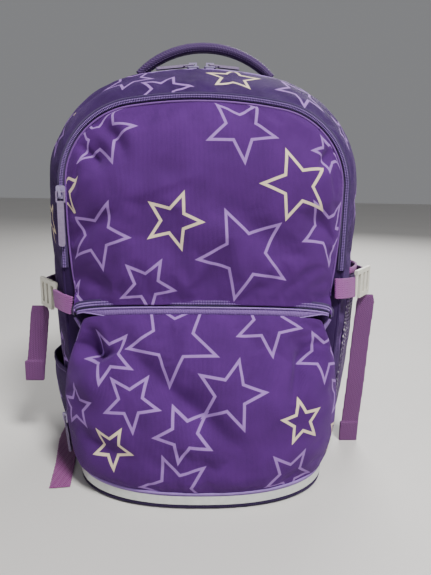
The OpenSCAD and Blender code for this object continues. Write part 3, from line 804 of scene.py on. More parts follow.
m_reflect = solid_material("reflective_band", (0.66, 0.68, 0.65), rough=0.34, grain=220, mottle=0.12,
                           relief=0.25, metal=0.2)
m_pad = cloth_material("pad_mesh", (0.045, 0.024, 0.085, 1), weave=2.6, relief=0.9, rough=0.8, shade=0.2)
m_pink = webbing_material("pink_webbing", (0.30, 0.080, 0.30, 1), sheen=0.15)
m_purple = webbing_material("purple_webbing", (0.14, 0.040, 0.17, 1), sheen=0.12)
m_tail = webbing_material("tail_webbing", (0.15, 0.040, 0.16, 1), sheen=0.12)
m_magenta = webbing_material("magenta_webbing", (0.25, 0.055, 0.21, 1))
m_ivory = solid_material("ivory_plastic", (0.72, 0.70, 0.60), rough=0.42, grain=90, mottle=0.06, coat=0.15)
m_black = solid_material("black_plastic", (0.025, 0.024, 0.027), rough=0.45, grain=140)
m_metal = solid_material("slider_metal", (0.40, 0.33, 0.55), rough=0.34, grain=150, metal=0.4, coat=0.2)
m_pull = solid_material("pull_cord", (0.24, 0.18, 0.30), rough=0.6, grain=350, mottle=0.2, relief=0.5)
m_thread = solid_material("thread", (0.30, 0.18, 0.46), rough=0.7, grain=400)
m_sheet = solid_material("frame_sheet", (0.3, 0.3, 0.32), rough=0.5)
m_backing = cloth_material("back_mesh", (0.030, 0.016, 0.055, 1), weave=2.2, relief=0.7, rough=0.8)
m_yoke = cloth_material("yoke_cloth", (0.032, 0.014, 0.066, 1), weave=1.6, relief=0.6, rough=0.74)
m_handle = webbing_material("handle_webbing", (0.050, 0.018, 0.095, 1), sheen=0.08, rib=3.0)
m_net = webbing_material("side_net", (0.085, 0.032, 0.14, 1), rib=0.8)

# ---------------------------------------------------------------- body cloth


def pushed(grid, amount):
    """The grid moved outwards by an amount at each point."""
    return grid + grid_normals(grid) * np.asarray(amount)[..., None]


def gusset(name, y_from, y_to, rows, material, slot, seed):
    """The cloth strip over the top and down both sides, between two depths."""
    ys = np.linspace(y_from, y_to, rows)
    grid = np.stack([body_outline(y, n=230) for y in ys])
    v = np.linspace(0, 1, rows)[:, None]
    puff = np.sin(np.pi * v) ** 0.7
    rumple = ripple(grid, 34, 1.7, seed, (1, 1.8, 1)) + ripple(grid, 14, 0.6, seed + 9)
    grid = pushed(grid, puff * (0.5 + rumple))
    obj = grid_object(name, grid, material, slot=slot)
    relax(obj, border_pins(rows, 230, 2), pressure=0.25, grow=0.025, reach=1.6)
    return thicken(obj, 1.1)


front_side = gusset("front_gusset_cloth", 21.3, FRONT_Y, 18, m_front_side, "fabric_print", 3.0)
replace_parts(front_side, "front_gusset")
rear_side = gusset("rear_gusset_cloth", 96.6, 28.7, 18, m_plain, "fabric_plain", 5.0)
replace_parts(rear_side, "rear_gusset")


def seam_welt(name, y, radius, material, slot, grow, span=(0.0, 1.0)):
    """A round cord or turned seam that follows the body's outline."""
    line = body_outline(y, grow=grow, n=260, span=span)
    out = line - np.array((0, y, HEART_Z))
    return sweep(name, line, out, round_section(radius, 10), material, slot)


seam_welt("front_seam_welt", -47.6, 1.7, m_plain, "fabric_plain", grow=-1.0)
seam_welt("ridge_piping", 20.3, 1.0, m_piping, "fabric_print", grow=0.2, span=(0.14, 0.86))
seam_welt("rear_seam_welt", 98.6, 2.0, m_plain, "fabric_plain", grow=-1.4)


def filled_outline(name, line, thick, material, slot, y_front, rings=8):
    """A flat panel inside an outline, front face at y_front."""
    centre = np.array((0, 0, 190.0))
    layers = []
    for k in range(rings + 1):
        s = 1 - (k / rings) * 0.97
        ring = centre + (line - centre) * s
        ring[:, 1] = y_front
        layers.append(ring)
    front = np.stack(layers)
    n = front.shape[1]
    points = front.reshape(-1, 3)
    faces = [(j * n + i, (j + 1) * n + i, (j + 1) * n + (i + 1) % n, j * n + (i + 1) % n)
             for j in range(rings) for i in range(n)]
    faces.append(tuple(rings * n + i for i in range(n)))
    mesh = mesh_of(name, points, faces, points[:, [0, 2]])
    obj = link(name, facing_out(mesh, Vector((0, -1, 0))), material, slot)
    mod = obj.modifiers.new("thick", "SOLIDIFY")
    mod.thickness, mod.offset = thick * MM, -1
    return baked(obj)


wall = filled_outline("front_wall_cloth", body_outline(FRONT_Y, n=200), 2.6, m_plain, "fabric_plain", -49.0)
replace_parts(wall, "front_wall")

# ---------------------------------------------------------------- upper pocket

POCKET_BACK = -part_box("lower_pocket")[1].y / MM        # how far forward the pockets start
SQUARENESS = 0.85                                       # below 1 squares the pocket's plan


def pocket_plan(node, n=220):
    """The lower pocket's rounded plan at one of its trims, from left to right, at height 0."""
    low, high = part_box(node)
    half, out = high.x / MM, -low.y / MM - POCKET_BACK
    a = np.radians(np.linspace(175, 5, n))
    return np.stack([half * np.sign(np.cos(a)) * np.abs(np.cos(a)) ** SQUARENESS,
                     -POCKET_BACK - out * np.sin(a) ** SQUARENESS, 0 * a], 1)


# Half width, height at the ends, rise to the middle and how far forward the middle comes
SEAM_HALF, SEAM_LOW, SEAM_RISE, SEAM_OUT = 123, 158, 18, 20


def pocket_seam(n, inset=0.0, out=SEAM_OUT, back=57.0):
    """The lower pocket's top seam, left to right: nearly level, with rounded corners."""
    a = np.linspace(math.pi, 0, n)
    lift = np.sin(np.clip(a, 0, math.pi))
    return np.stack([(SEAM_HALF - inset) * np.sign(np.cos(a)) * np.abs(np.cos(a)) ** 0.8,
                     -back - out * lift ** 0.7, SEAM_LOW - inset + SEAM_RISE * lift ** 0.45], 1)


POCKET_Y = -51                                            # where the upper pocket is sewn down
UP = arch(128.6, 358.6, 400, 122.6, 181, n=800)[::-1]     # from the left foot over the top to the right


def cut(line, a, b, y):
    """Part of an (x, z) line, from share a to share b, at depth y."""
    i, j = int(a * (len(line) - 1)), int(b * (len(line) - 1))
    part = line[min(i, j):max(i, j) + 1]
    return np.stack([part[:, 0], np.full(len(part), float(y)), part[:, 1]], 1)


upper_left = cut(UP, 0.0, 0.30, POCKET_Y)
upper_top = cut(UP, 0.30, 0.70, POCKET_Y)
upper_right = cut(UP, 0.70, 1.0, POCKET_Y)[::-1]
upper_bottom = pocket_seam(40, out=4.5, back=-POCKET_Y)
upper_bottom[:, 0] *= upper_right[0, 0] / SEAM_HALF
upper_bottom[0], upper_bottom[-1] = upper_left[0], upper_right[0]
upper_grid = coons(upper_bottom, upper_right, upper_top, upper_left, 110, 80)


def edge_distance(grid, skip_bottom=False):
    """Distance from each grid point to the grid's border, in millimetres."""
    flat = grid[..., [0, 2]]
    borders = [flat[-1], flat[:, 0], flat[:, -1]] + ([] if skip_bottom else [flat[0]])
    rim = np.concatenate(borders)
    d = np.full(flat.shape[:2], 1e9)
    for p in rim[::2]:
        d = np.minimum(d, np.linalg.norm(flat - p, axis=2))
    return d


rim_gap = edge_distance(upper_grid, True)
upper_grid[..., 1] -= 17 * (1 - np.exp(-rim_gap / 17)) + 7 * np.sin(np.pi
    * np.clip((358 - upper_grid[..., 2]) / 250, 0, 1)) * (
    1 - np.exp(-rim_gap / 30))


def on_panel(grid, *shares):
    """Points of a panel given as (across from -1 to 1, up from 0 to 1), as (x, z)."""
    flat = grid[..., [0, 2]].reshape(-1, 2)
    low, high = flat.min(0), flat.max(0)
    return [((low[0] + high[0]) / 2 + across * (high[0] - low[0]) / 2, low[1] + up * (high[1] - low[1]))
            for across, up in shares]


def crease(grid, depth, width, *shares):
    """Depth of a soft crease along places given as shares of the panel."""
    return valley(grid, on_panel(grid, *shares), depth, width)


def hollow(grid, depth, width, across, up):
    """Depth of a round dimple at a place given as shares of the panel."""
    (x, z), = on_panel(grid, (across, up))
    return depth * np.exp(-((grid[..., 0] - x) / width) ** 2 - ((grid[..., 2] - z) / width) ** 2)


upper_crease = (crease(upper_grid, 4.5, 6.5, (-0.8, 0.9), (-0.65, 0.85), (-0.55, 0.75))
             + hollow(upper_grid, 6.0, 15, -0.75, 0.75)
             + crease(upper_grid, 3.5, 3.5, (-0.9, 0.8), (-0.75, 0.7))
             + crease(upper_grid, 4.5, 4, (0.9, 0.8), (0.8, 0.7))
             + hollow(upper_grid, 2.5, 12, 0.65, 0.85)
             + crease(upper_grid, 2.6, 13, (0.05, 0.55), (0.4, 0.4), (0.6, 0.3))
             + hollow(upper_grid, 3.5, 14, 0.8, 0.45)
             + hollow(upper_grid, 4.0, 16, -0.8, 0.15)
             + crease(upper_grid, 2.0, 9, (-0.9, 0.4), (-0.55, 0.5))
             - crease(upper_grid, 1.8, 16, (-0.25, 0.65), (0.15, 0.4), (0.7, 0.2)))
calm = 1 - np.exp(-rim_gap / 7)
upper_uv = arc_uv(upper_grid)
upper_grid = pushed(upper_grid,
                    (-1.7 * upper_crease + ripple(upper_grid, 46, 3.4, 1.3, (1, 1, 1.4))
                     + ripple(upper_grid, 17, 0.9, 4.1)) * calm)
upper_panel = grid_object("upper_panel", upper_grid,
                          cloth_material("upper_print", PANEL, laid_out(UPPER_PRINT, upper_uv)), upper_uv,
                          slot="fabric_print")
relax(upper_panel, border_pins(80, 110), pressure=0.3, grow=0.018, reach=2.5)
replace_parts(upper_panel, "upper_pocket")

# ---------------------------------------------------------------- lower pocket

lower_top = pocket_seam(60, inset=8, out=21, back=60)
lower_bottom = pocket_plan("reflective_band", 80) + np.array((0, 1.5, 14.5))


def pocket_side(side, n=24):
    """The lower pocket's side seam, from the band up to the top seam's corner, bowed outwards."""
    start, end = (lower_bottom[-1], lower_top[-1]) if side > 0 else (lower_bottom[0], lower_top[0])
    t = np.linspace(0, 1, n)[:, None]
    line = start + (end - start) * np.concatenate([t, t ** 0.5, t], 1)
    line[:, 0] += side * 12 * np.sin(np.pi * t[:, 0]) ** 0.8
    return line


lower_left, lower_right = pocket_side(-1), pocket_side(1)
lower_grid = coons(lower_bottom, lower_right, lower_top, lower_left, 116, 84)
s = np.linspace(0, 1, 116)[None, :]
v = np.linspace(0, 1, 84)[:, None]
lower_grid = pushed(lower_grid, 15 * (np.sin(np.pi * s) ** 0.6) * (np.sin(np.pi * v ** 0.8) ** 0.75))
rim_gap = edge_distance(lower_grid)
lower_crease = (hollow(lower_grid, 8.5, 14, -0.8, 0.8)
              + crease(lower_grid, 3.5, 4, (-0.9, 0.8), (-0.75, 0.75), (-0.6, 0.8))
              + crease(lower_grid, 3.6, 10, (-0.65, 0.9), (-0.3, 0.65), (0.0, 0.45), (0.3, 0.25))
              + hollow(lower_grid, 5.0, 13, 0.75, 0.75)
              + crease(lower_grid, 3.2, 6, (0.7, 0.8), (0.6, 0.5))
              + crease(lower_grid, 2.2, 9, (-0.9, 0.3), (-0.45, 0.2))
              + crease(lower_grid, 1.8, 10, (0.45, 0.85), (0.3, 0.55))
              - crease(lower_grid, 2.2, 14, (-0.5, 0.65), (0.1, 0.15))
              - hollow(lower_grid, 3.0, 14, -0.75, 0.6)
              - hollow(lower_grid, 2.0, 25, 0.45, 0.5))
calm = 1 - np.exp(-rim_gap / 7)
lower_uv = arc_uv(lower_grid)
lower_grid = pushed(lower_grid,
                    (-2.2 * lower_crease + ripple(lower_grid, 50, 4.0, 7.3, (1, 1, 1.3))
                     + ripple(lower_grid, 18, 1.0, 2.2)) * calm)
lower_panel = grid_object("lower_panel", lower_grid,
                          cloth_material("lower_print", PANEL, laid_out(LOWER_PRINT, lower_uv)), lower_uv,
                          slot="fabric_print")
relax(lower_panel, border_pins(84, 116), pressure=0.35, grow=0.02, reach=2.8)
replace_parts(lower_panel, "lower_pocket")
upper_panel = thicken(upper_panel, 1.3)
lower_panel = thicken(lower_panel, 1.3)

# ---------------------------------------------------------------- zips


COIL_PITCH = 1.5


def zip_run(name, line, normals, slot, rows=(-1.3, 1.3), tape=9.0, lift=0.6, width=2.2):
    """A coil zip: tape, a dark slit and two rows of coil turns, as one object."""
    parts = [sweep(name + "_tape", line, normals, flat_section(tape, 0.9), m_tape, slot),
             sweep(name + "_slit", line, normals, flat_section(1.0, 0.7, lift=lift), m_slit, slot)]
    for side in rows:
        parts.append(scatter_blocks(name + "_coil", line, normals, COIL_PITCH, (1.0, width, 1.7), m_teeth,
                                    slot,
                                    shift=side, lift=lift + 0.5, tilt=0.12 if side > 0 else -0.12))
    obj = joined(name, parts)
    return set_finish(obj, slot)


def share_above(line, z):
    """The part of a line between its first and last points above height z."""
    keep = np.nonzero(line[:, 2] > z)[0]
    return line[keep[0]:keep[-1] + 1]


ridge = share_above(body_outline(RIDGE_Y, grow=-0.9, n=700), 134)
ridge_out = ridge - np.array((0, RIDGE_Y, 210.0))
main_zip = zip_run("main_zip_run", ridge, ridge_out, "zip_tape", tape=8.6)
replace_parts(main_zip, "main_zip")
lower_ridge = body_outline(RIDGE_Y, grow=-1.1, n=700)
for side in (-1, 1):
    part = np.array([p for p in lower_ridge if p[2] < 136 and p[0] * side > 0])
    sweep("side_closure_" + ("left" if side < 0 else "right"), part, part - np.array((0, RIDGE_Y, 210.0)),
          flat_section(8.8, 1.4), m_plain, "fabric_plain")

upper_line = arch(133, 363, 400, 133, 181, n=900)
upper_line = np.stack([upper_line[:, 0], np.full(900, -50.2), upper_line[:, 1]], 1)
upper_line = share_above(upper_line, 205)
upper_zip = zip_run("upper_zip_run", upper_line, (0, -1, 0), "zip_tape", tape=7.4, lift=0.7, width=1.5,
                    rows=(-0.85, 0.85))
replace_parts(upper_zip, "upper_zip")

turned = smooth_line(np.vstack([upper_left, upper_top[1:], upper_right[::-1][1:]]), 260, False)
sweep("upper_turned_edge", turned + np.array((0, -1.0, 0)), turned - np.array((0, -51, 200.0)),
      round_section(1.0, 8),
      m_edge, "fabric_print")

LOW_SEAM = smooth_line(pocket_seam(120), 260, False)
lower_out = np.tile((0, -0.93, 0.36), (260, 1))
coil_line = LOW_SEAM + np.array((0, 1.2, 2.0))
lower_coil = [scatter_blocks("lower_coil", coil_line, lower_out, COIL_PITCH, (1.0, 2.1, 1.8), m_teeth,
                             "zip_tape", shift=k, lift=0.4)
            for k in (-1.15, 1.15)]
lower_coil.append(sweep("lower_tape", coil_line + np.array((0, 0.8, 0)), lower_out, flat_section(8, 0.9),
                        m_tape, "zip_tape"))
lower_coil.append(sweep("lower_slit", LOW_SEAM + np.array((0, 0.0, -1.0)), lower_out, flat_section(2.2, 0.8),
                        m_slit,
                      "zip_tape"))
ZIP_ENDS = {-1: 44, 1: 96}             # height at which each end of the pocket zip stops
side_runs = {}
for side, end in ZIP_ENDS.items():
    down = pocket_side(side, 60)[::-1]
    side_runs[side] = np.vstack([LOW_SEAM[-1 if side > 0 else 0],
                                 down[(down[:, 2] > end) & (down[:, 2] < 150)]])
for side, run in side_runs.items():
    line = smooth_line(run, 90, False)
    out = np.tile((side * 0.75, -0.66, 0), (90, 1))
    lower_coil.append(sweep("welt", line, out, round_section(2.1, 10), m_band, "zip_tape"))
    lower_coil.append(scatter_blocks("side_coil", line + np.array((side * 1.6, 1.6, 0)), out, COIL_PITCH,
                                     (1.0, 2.0, 1.5), m_teeth,
                                   "zip_tape"))
lower_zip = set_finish(joined("lower_zip_run", lower_coil), "zip_tape")
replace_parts(lower_zip, "lower_zip")

BAND = LOW_SEAM[14:-14]
taper = np.clip(np.minimum(np.arange(len(BAND)), np.arange(len(BAND))[::-1]) / 28, 0.25, 1)
band_at = BAND + np.stack([0 * taper, -1.6 + 0 * taper, -2.2 - 3.4 * taper], 1)
band_section = np.stack([np.array(flat_section(7.4 * t, 1.5)) for t in taper])
top_band = sweep("pocket_band", band_at, (0, -1, 0.14), band_section, m_band, "zip_tape")
edges = [sweep("band_edge", band_at + np.stack([0 * taper, -0.7 + 0 * taper, k * 3.7 * taper], 1),
               (0, -1, 0.1),
               round_section(0.75, 8), m_piping, "zip_tape") for k in (-1, 1)]
top_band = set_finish(joined("pocket_band", [top_band] + edges), "zip_tape")
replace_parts(top_band, "pocket_piping")

# ---------------------------------------------------------------- reflective band and base

BAND_PLAN = pocket_plan("reflective_band")
plan_out = BAND_PLAN - np.array((0, 10, 0))
side_lift = 2.2 * (np.abs(BAND_PLAN[:, 0]) / 134) ** 3


def round_the_pocket(z):
    """The band's plan raised to height z, a little more at its sides."""
    return BAND_PLAN + np.stack([0 * side_lift, 0 * side_lift, z + side_lift], 1)


reflector = sweep("reflector", round_the_pocket(9.3), plan_out,
                  [(-4.5, -0.8), (4.5, -0.8), (4.5, 0.1), (3.9, 0.4), (-3.9, 0.4), (-4.5, 0.1)], m_reflect,
                  "reflective", smooth=False)
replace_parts(reflector, "reflective_band")
edging = sweep("reflector_piping", round_the_pocket(15.6), plan_out, round_section(1.3, 10), m_piping,
               "piping")
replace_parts(edging, "band_piping")
sweep("band_stitches", round_the_pocket(13.6), plan_out, round_section(0.45, 6), m_thread, "reflective")


def base_shape(inset, z):
    """Outline of the base at one height: the body's foot, with the lower pocket in front."""
    front = [(x * (1 - inset / 150), y + inset * 0.8, z) for x, y, _ in BAND_PLAN]
    right = [(142 - inset, -10, z), (147 - inset, 30, z), (144 - inset, 70, z), (134 - inset, 98 - inset, z),
             (60, 102 - inset, z), (0, 103 - inset, z)]
    rear = right + [(-x, y, z) for x, y, z in right[-2::-1]]
    return smooth_line(front + rear + [front[0]], 181)[:-1]


def base_cloth():
    """The stiff cloth under the pack, turned up at its edge."""
    rings = [base_shape(i, z) for i,
             z in ((40, 0.4), (18, 0.3), (5, 0.3), (1.5, 0.8), (0, 2.2), (0.4, 4.6), (3, 5.4),
                                           (20, 5.6))]
    n = len(rings[0])
    points = np.concatenate(rings)
    faces = [(k * n + i, k * n + (i + 1) % n, (k + 1) * n + (i + 1) % n, (k + 1) * n + i)
             for k in range(len(rings) - 1) for i in range(n)]
    faces += [tuple(range(n - 1, -1, -1)), tuple((len(rings) - 1) * n + i for i in range(n))]
    mesh = mesh_of("base_cloth", points, faces, points[:, :2])
    return link("base_cloth", facing_out(mesh), m_base, "base_fabric")


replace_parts(base_cloth(), "base_panel")

# ---------------------------------------------------------------- side pockets


def side_x(y, z):
    """Half width of the body at depth y and height z on the straight part of the side."""
    half, _, foot, _ = body_profile(y)
    s = min(1, max(0, (z - FOOT_Z) / (TURN_Z - FOOT_Z)))
    return foot + (half - foot) * (1 - (1 - s) ** 2.5)


def pouch_bulge(u, v):
    """How far a side pocket stands off, as a share: nothing at its sides, most near its mouth."""
    return max(0, math.sin(math.pi * u)) ** 0.6 * max(0, math.sin(math.pi * min(1, 0.08 + v * 0.6))) ** 0.6


def pouch_grid(side, y0, y1, z0, z1, bulge, nu, nv, clear=1.4):
    """A pocket's outer cloth: flat on the body at its edges, standing off by bulge in between, open above."""
    rows = []
    for j in range(nv):
        v = j / (nv - 1)
        z = z0 + (z1 - z0) * v
        row = []
        for i in range(nu):
            u = i / (nu - 1)
            y = (y0 + (y1 - y0) * u) if side > 0 else (y1 + (y0 - y1) * u)
            row.append((side * (side_x(y, z) + clear + bulge * pouch_bulge(u, v)), y, z))
        rows.append(row)
    return np.array(rows)


left_pouch = pouch_grid(-1, -38, 70, 20, 93, 10, 46, 34)
left_pouch = pushed(left_pouch,
                    ripple(left_pouch, 22, 1.0, 6.0) * (np.sin(np.pi * np.linspace(0, 1, 46)) ** 0.5)[None])
pouch = grid_object("side_pocket_cloth", left_pouch, m_side, slot="fabric_print")
thicken(pouch, 1.1)
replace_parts(pouch, "side_pocket_left")
# The hem follows the mouth of the pocket
mouth = left_pouch[-1].copy()
mouth[:, 2] = 95.3
hem_out = np.tile((-1.0, 0, 0), (46, 1))
hem = sweep("side_pocket_hem", mouth, hem_out, flat_section(6.0, 2.0), m_plain, "fabric_plain")
scatter_blocks("hem_stitch", mouth - np.array((1.1, 0, 1.4)), hem_out, 3.0, (1.9, 0.5, 0.5), m_thread,
                            "fabric_plain")
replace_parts(hem, "side_hem_left")


NET_BULGE = 9


def net_pocket():
    """Knitted net with real hexagonal holes."""
    y0, y1, z0, z1 = -16.0, 70.0, 20.0, 196.5
    cell = 4.6
    step_y, step_z = cell, cell * 0.866
    bm = bmesh.new()
    made = {}

    def knot(y, z):
        key = (round(y, 2), round(z, 2))
        if key not in made:
            u = min(1, max(0, (y - y0) / (y1 - y0)))
            v = min(1, max(0, (z - z0) / (z1 - z0)))
            out = NET_BULGE * pouch_bulge(u, v)
            x = side_x(min(y1, max(y0, y)),
                       z) + 1.6 + out * (0.93 + 0.07 * noise.noise(Vector((y, z, 3)) * 0.06))
            made[key] = bm.verts.new(Vector((x, min(y1, max(y0, y)), min(z1, max(z0, z)))) * MM)
        return made[key]

    rows = int((z1 - z0) / step_z)
    columns = int((y1 - y0) / step_y)
    r = cell / math.sqrt(3)
    for row in range(rows + 1):
        for col in range(columns + 1):
            cy = y0 + (col + (0.5 if row % 2 else 0)) * step_y
            cz = z0 + row * step_z
            if cy > y1 - 0.4 * cell or cz > z1 - 0.4 * cell or cy < y0 + 0.4 * cell or cz < z0 + 0.4 * cell:
                continue
            ring = [knot(cy + r * math.sin(a), cz + r * math.cos(a))
                    for a in np.radians(np.arange(0, 360, 60))]
            if len(set(ring)) == 6:
                try:
                    bm.faces.new(ring)
                except ValueError:
                    pass
    bmesh.ops.recalc_face_normals(bm, faces=bm.faces)
    if sum(f.normal.x * f.calc_area() for f in bm.faces) < 0:
        bmesh.ops.reverse_faces(bm, faces=bm.faces)
    holes = bmesh.ops.inset_individual(bm, faces=list(bm.faces), thickness=0.62 * MM, use_even_offset=True)
    inner = [f for f in bm.faces if f not in set(holes["faces"])]
    bmesh.ops.delete(bm, geom=inner, context="FACES")
    layer = bm.loops.layers.uv.new("cloth")
    for f in bm.faces:
        for loop in f.loops:
            loop[layer].uv = (loop.vert.co.y * 1000, loop.vert.co.z * 1000)
    mesh = bpy.data.meshes.new("net_pocket")
    bm.to_mesh(mesh)
    bm.free()
    obj = link("net_pocket", mesh, m_net, "mesh")
    mod = obj.modifiers.new("thick", "SOLIDIFY")
    mod.thickness, mod.offset = 0.7 * MM, 0
    return baked(obj)


net = net_pocket()
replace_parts(net, "mesh_pocket_right")
net_shape = pouch_grid(1, -16, 70, 20, 196.5, NET_BULGE, 40, 30, clear=1.6)
binding_line = net_shape[-1].copy()
binding_line[:, 2] = 199
binding = sweep("net_binding", binding_line, (1, 0, 0), flat_section(6.5, 2.0), m_pink, "pink_webbing")
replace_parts(binding, "mesh_binding_right")
rim = np.concatenate([net_shape[::-1, 0], net_shape[0, 1:-1], net_shape[:, -1]])
sweep("net_border", rim, (1, 0, 0), flat_section(4.0, 1.4), m_plain, "mesh")

# ---------------------------------------------------------------- hardware and webbing


def finished(name, material, bevel=0.35, segments=2):
    """A CAD piece shown as it is, with eased edges and its material."""
    obj = frame["nodes"][name]
    obj.data.materials.clear()
    obj.data.materials.append(material)
    if bevel:
        mod = obj.modifiers.new("eased", "BEVEL")
        mod.width, mod.segments = bevel * MM, segments
        mod.limit_method, mod.angle_limit = "ANGLE", math.radians(40)
    return obj


for part in ("main_slider_left", "main_slider_right", "upper_slider", "lower_slider"):
    finished(part, m_metal, 0.3)
for part in ("main_pull_left", "main_pull_right", "upper_pull", "lower_pull"):
    finished(part, m_pull, 0.4)
for part in ("hook_buckle_left", "hook_buckle_right"):
    finished(part, m_ivory, 0.6, 3)
for part in ("adjuster_left", "adjuster_right", "sternum_slider_left", "sternum_slider_right",
             "sternum_socket",
             "sternum_plug"):
    finished(part, m_black, 0.5)
finished("frame_sheet", m_sheet, 0)
finished("document_sleeve", m_lining, 0)


def principal_axes(points):
    """The directions of a strap: along it, across it, through it."""
    centred = points - points.mean(axis=0)
    return np.linalg.svd(centred[:4000], full_matrices=False)[2]


def woven(node, material, slot, wave=0.0):
    """Webbing made from a CAD strap: finely meshed, with cloth coordinates along its length."""
    source = frame["nodes"][node]
    obj = link(node + "_woven", source.data.copy(), None)
    obj.data.materials.clear()
    obj.data.materials.append(material)
    mod = obj.modifiers.new("fine", "REMESH")
    mod.mode, mod.voxel_size, mod.use_smooth_shade = "VOXEL", 0.9 * MM, True
    mod = obj.modifiers.new("soften", "SMOOTH")
    mod.factor, mod.iterations = 0.5, 2
    baked(obj)
    mesh = obj.data
    co = points_of(mesh) / MM
    axes = principal_axes(co)
    if wave:
        along = (co - co.mean(axis=0)) @ axes[0]
        ease = np.sin(np.pi * (along - along.min()) / np.ptp(along))
        co = co + axes[2] * (wave * ease * np.sin(along / 19 + len(node)))[:, None]
        mesh.vertices.foreach_set("co", (co * MM).ravel())
    set_cloth_uvs(mesh, np.stack([co @ axes[0], co @ axes[1]], 1))
    mesh.materials.clear()
    mesh.materials.append(material)
    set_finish(obj, slot)
    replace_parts(obj, node)
    return obj


for part, material, slot, wave in (
        ("handle_anchor_left", m_purple, "purple_webbing", 0),
        ("handle_anchor_right", m_purple, "purple_webbing", 0),
        ("side_tail_left", m_tail, "purple_webbing", 0.8), ("side_tail_right", m_tail, "purple_webbing", 0.9),
        ("sternum_web_left", m_purple, "purple_webbing", 0),
        ("sternum_web_right", m_purple, "purple_webbing", 0),
        ("strap_webbing_left", m_purple, "purple_webbing", 0),
        ("strap_webbing_right", m_purple, "purple_webbing", 0),
        ("strap_tail_right", m_magenta, "purple_webbing", 0)):
    strap = woven(part, material, slot, wave=wave)
    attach(strap, body_of(frame["nodes"][part])[0])


def loop_web(side, corners):
    """The sewn loop: a doubled strap, slanted from the pocket's corner seam round the buckle's free bar."""
    inner_low, outer_low, outer_high, inner_high = (np.array(c, float) for c in corners)
    rows = []
    for k in np.linspace(0, 1, 22):
        rows.append([(1 - k) * ((1 - t) * inner_low + t * inner_high) + k
                     * ((1 - t) * outer_low + t * outer_high)
                     for t in np.linspace(0, 1, 16)])
    grid = np.array(rows)
    arc = np.sin(np.pi * np.linspace(0, 1, 22))[:, None]
    grid[..., 1] -= 2.0 * arc
    if side > 0:
        grid = grid[:, ::-1]
    obj = grid_object("sewn_loop", grid[:, ::-1], m_pink, slot="pink_webbing")
    thicken(obj, 2.6)
    return obj


loop_right = loop_web(1, [(127, -54, 178), (151, -36, 176), (150, -36, 196), (126, -54, 198)])
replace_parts(loop_right, "loop_right")
loop_left = loop_web(-1, [(-127, -54, 160), (-146, -36, 163), (-147, -36, 181), (-125, -54, 177)])
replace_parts(loop_left, "loop_left")

for side, x in (("left", -1), ("right", 1)):
    web = woven("rear_web_" + side, m_purple, "purple_webbing")
    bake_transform(web, "pack", "side_buckle_" + side, (x * 0.152, 0.084, 0.18), (x * 0.172, 0.026, 0.18))
    web = woven("lower_web_" + side, m_purple, "purple_webbing")
    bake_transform(web, "pack", "shoulder_" + side, (x * 0.112, 0.108, 0.020), (x * 0.0930, 0.149, 0.077))
ground_strap = woven("strap_tail_left", m_magenta, "purple_webbing")
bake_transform(ground_strap, "pack", "shoulder_left", (-0.104, 0.157, 0.015), (-0.093, 0.162, 0.074))

# ---------------------------------------------------------------- carrying handle

handle_angles = np.radians(np.linspace(-44, 44, 90))
HANDLE_RADIUS, HANDLE_Y, HANDLE_Z = 104, 60.0, 324.0          # the arc that the handle follows
handle_line = np.stack([HANDLE_RADIUS * np.sin(handle_angles), np.full(90, HANDLE_Y),
                        HANDLE_Z + HANDLE_RADIUS * np.cos(handle_angles)], 1)
handle_out = handle_line - np.array((0, HANDLE_Y, HANDLE_Z))
swell = 1 - 0.16 * (np.abs(handle_angles) / handle_angles[-1]) ** 6 + 0.012 * np.sin(np.arange(90) * 1.35)
handle_section = np.array(round_section(5.5, 20))[None] * swell[:, None, None]
handle = sweep("handle_tube", handle_line, handle_out, handle_section, m_handle, "purple_webbing")
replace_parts(handle, "grab_handle")
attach(handle, "grab_handle")
handle_seam = scatter_blocks("handle_stitches", handle_line[6:-6], handle_out[6:-6], 3.2, (2.2, 0.5, 0.5),
                             m_thread,
                             "purple_webbing", lift=-5.35)
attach(handle_seam, "grab_handle")

# ---------------------------------------------------------------- back, pads and shoulder straps


PAD_FACE_Y = 104.4


def cushion(name, centre, size, depth, face_y, material, slot, grooves, n=56):
    """A padded block sewn down at its rim: domed outside, flat inside, with grooves across it."""
    cx, cz = centre
    w, h = size[0] / 2, size[1] / 2
    axis = np.linspace(-1, 1, n)
    a, b = np.meshgrid(axis, axis)
    x = a * np.sqrt(np.maximum(0, 1 - 0.28 * b ** 6))
    z = b * np.sqrt(np.maximum(0, 1 - 0.28 * a ** 6))
    dome = (1 - np.maximum(np.abs(a), np.abs(b)) ** 5) ** 0.5
    y = face_y + 0.6 + (depth - 0.6) * dome
    for at in grooves:
        y -= depth * 0.30 * np.exp(-((b - at) * h / 2.6) ** 2) * dome
    outer = np.stack([cx + x * w, y, cz + z * h], 2)
    outer[..., 1] += ripple(outer, 20, 0.5, cx) * dome
    inner = outer.copy()
    inner[..., 1] = face_y
    points = np.concatenate([outer.reshape(-1, 3), inner.reshape(-1, 3)])
    quads = [(j * n + i, j * n + i + 1, (j + 1) * n + i + 1, (j + 1) * n + i) for j in range(n - 1)
             for i in range(n - 1)]
    ring = ([(0, i) for i in range(n)] + [(j, n - 1) for j in range(1, n)]
            + [(n - 1, i) for i in range(n - 2, -1, -1)]
            + [(j, 0) for j in range(n - 2, 0, -1)])
    ring = [j * n + i for j, i in ring]
    k = n * n
    faces = quads + [tuple(v + k for v in reversed(f)) for f in quads]
    faces += [(ring[i], ring[i - 1], ring[i - 1] + k, ring[i] + k) for i in range(len(ring))]
    mesh = mesh_of(name, points, faces, points[:, [0, 2]])
    pad = link(name, facing_out(mesh), material, slot)
    rim = outer.reshape(-1, 3)[ring].copy()
    rim[:, 1] = face_y + 1.1
    rim = smooth_line(np.vstack([rim, rim[:1]]), 161, False)[:-1]
    sweep(name + "_piping", rim, (0, 1, 0), round_section(1.3, 8), m_plain, slot, closed=True)
    return pad


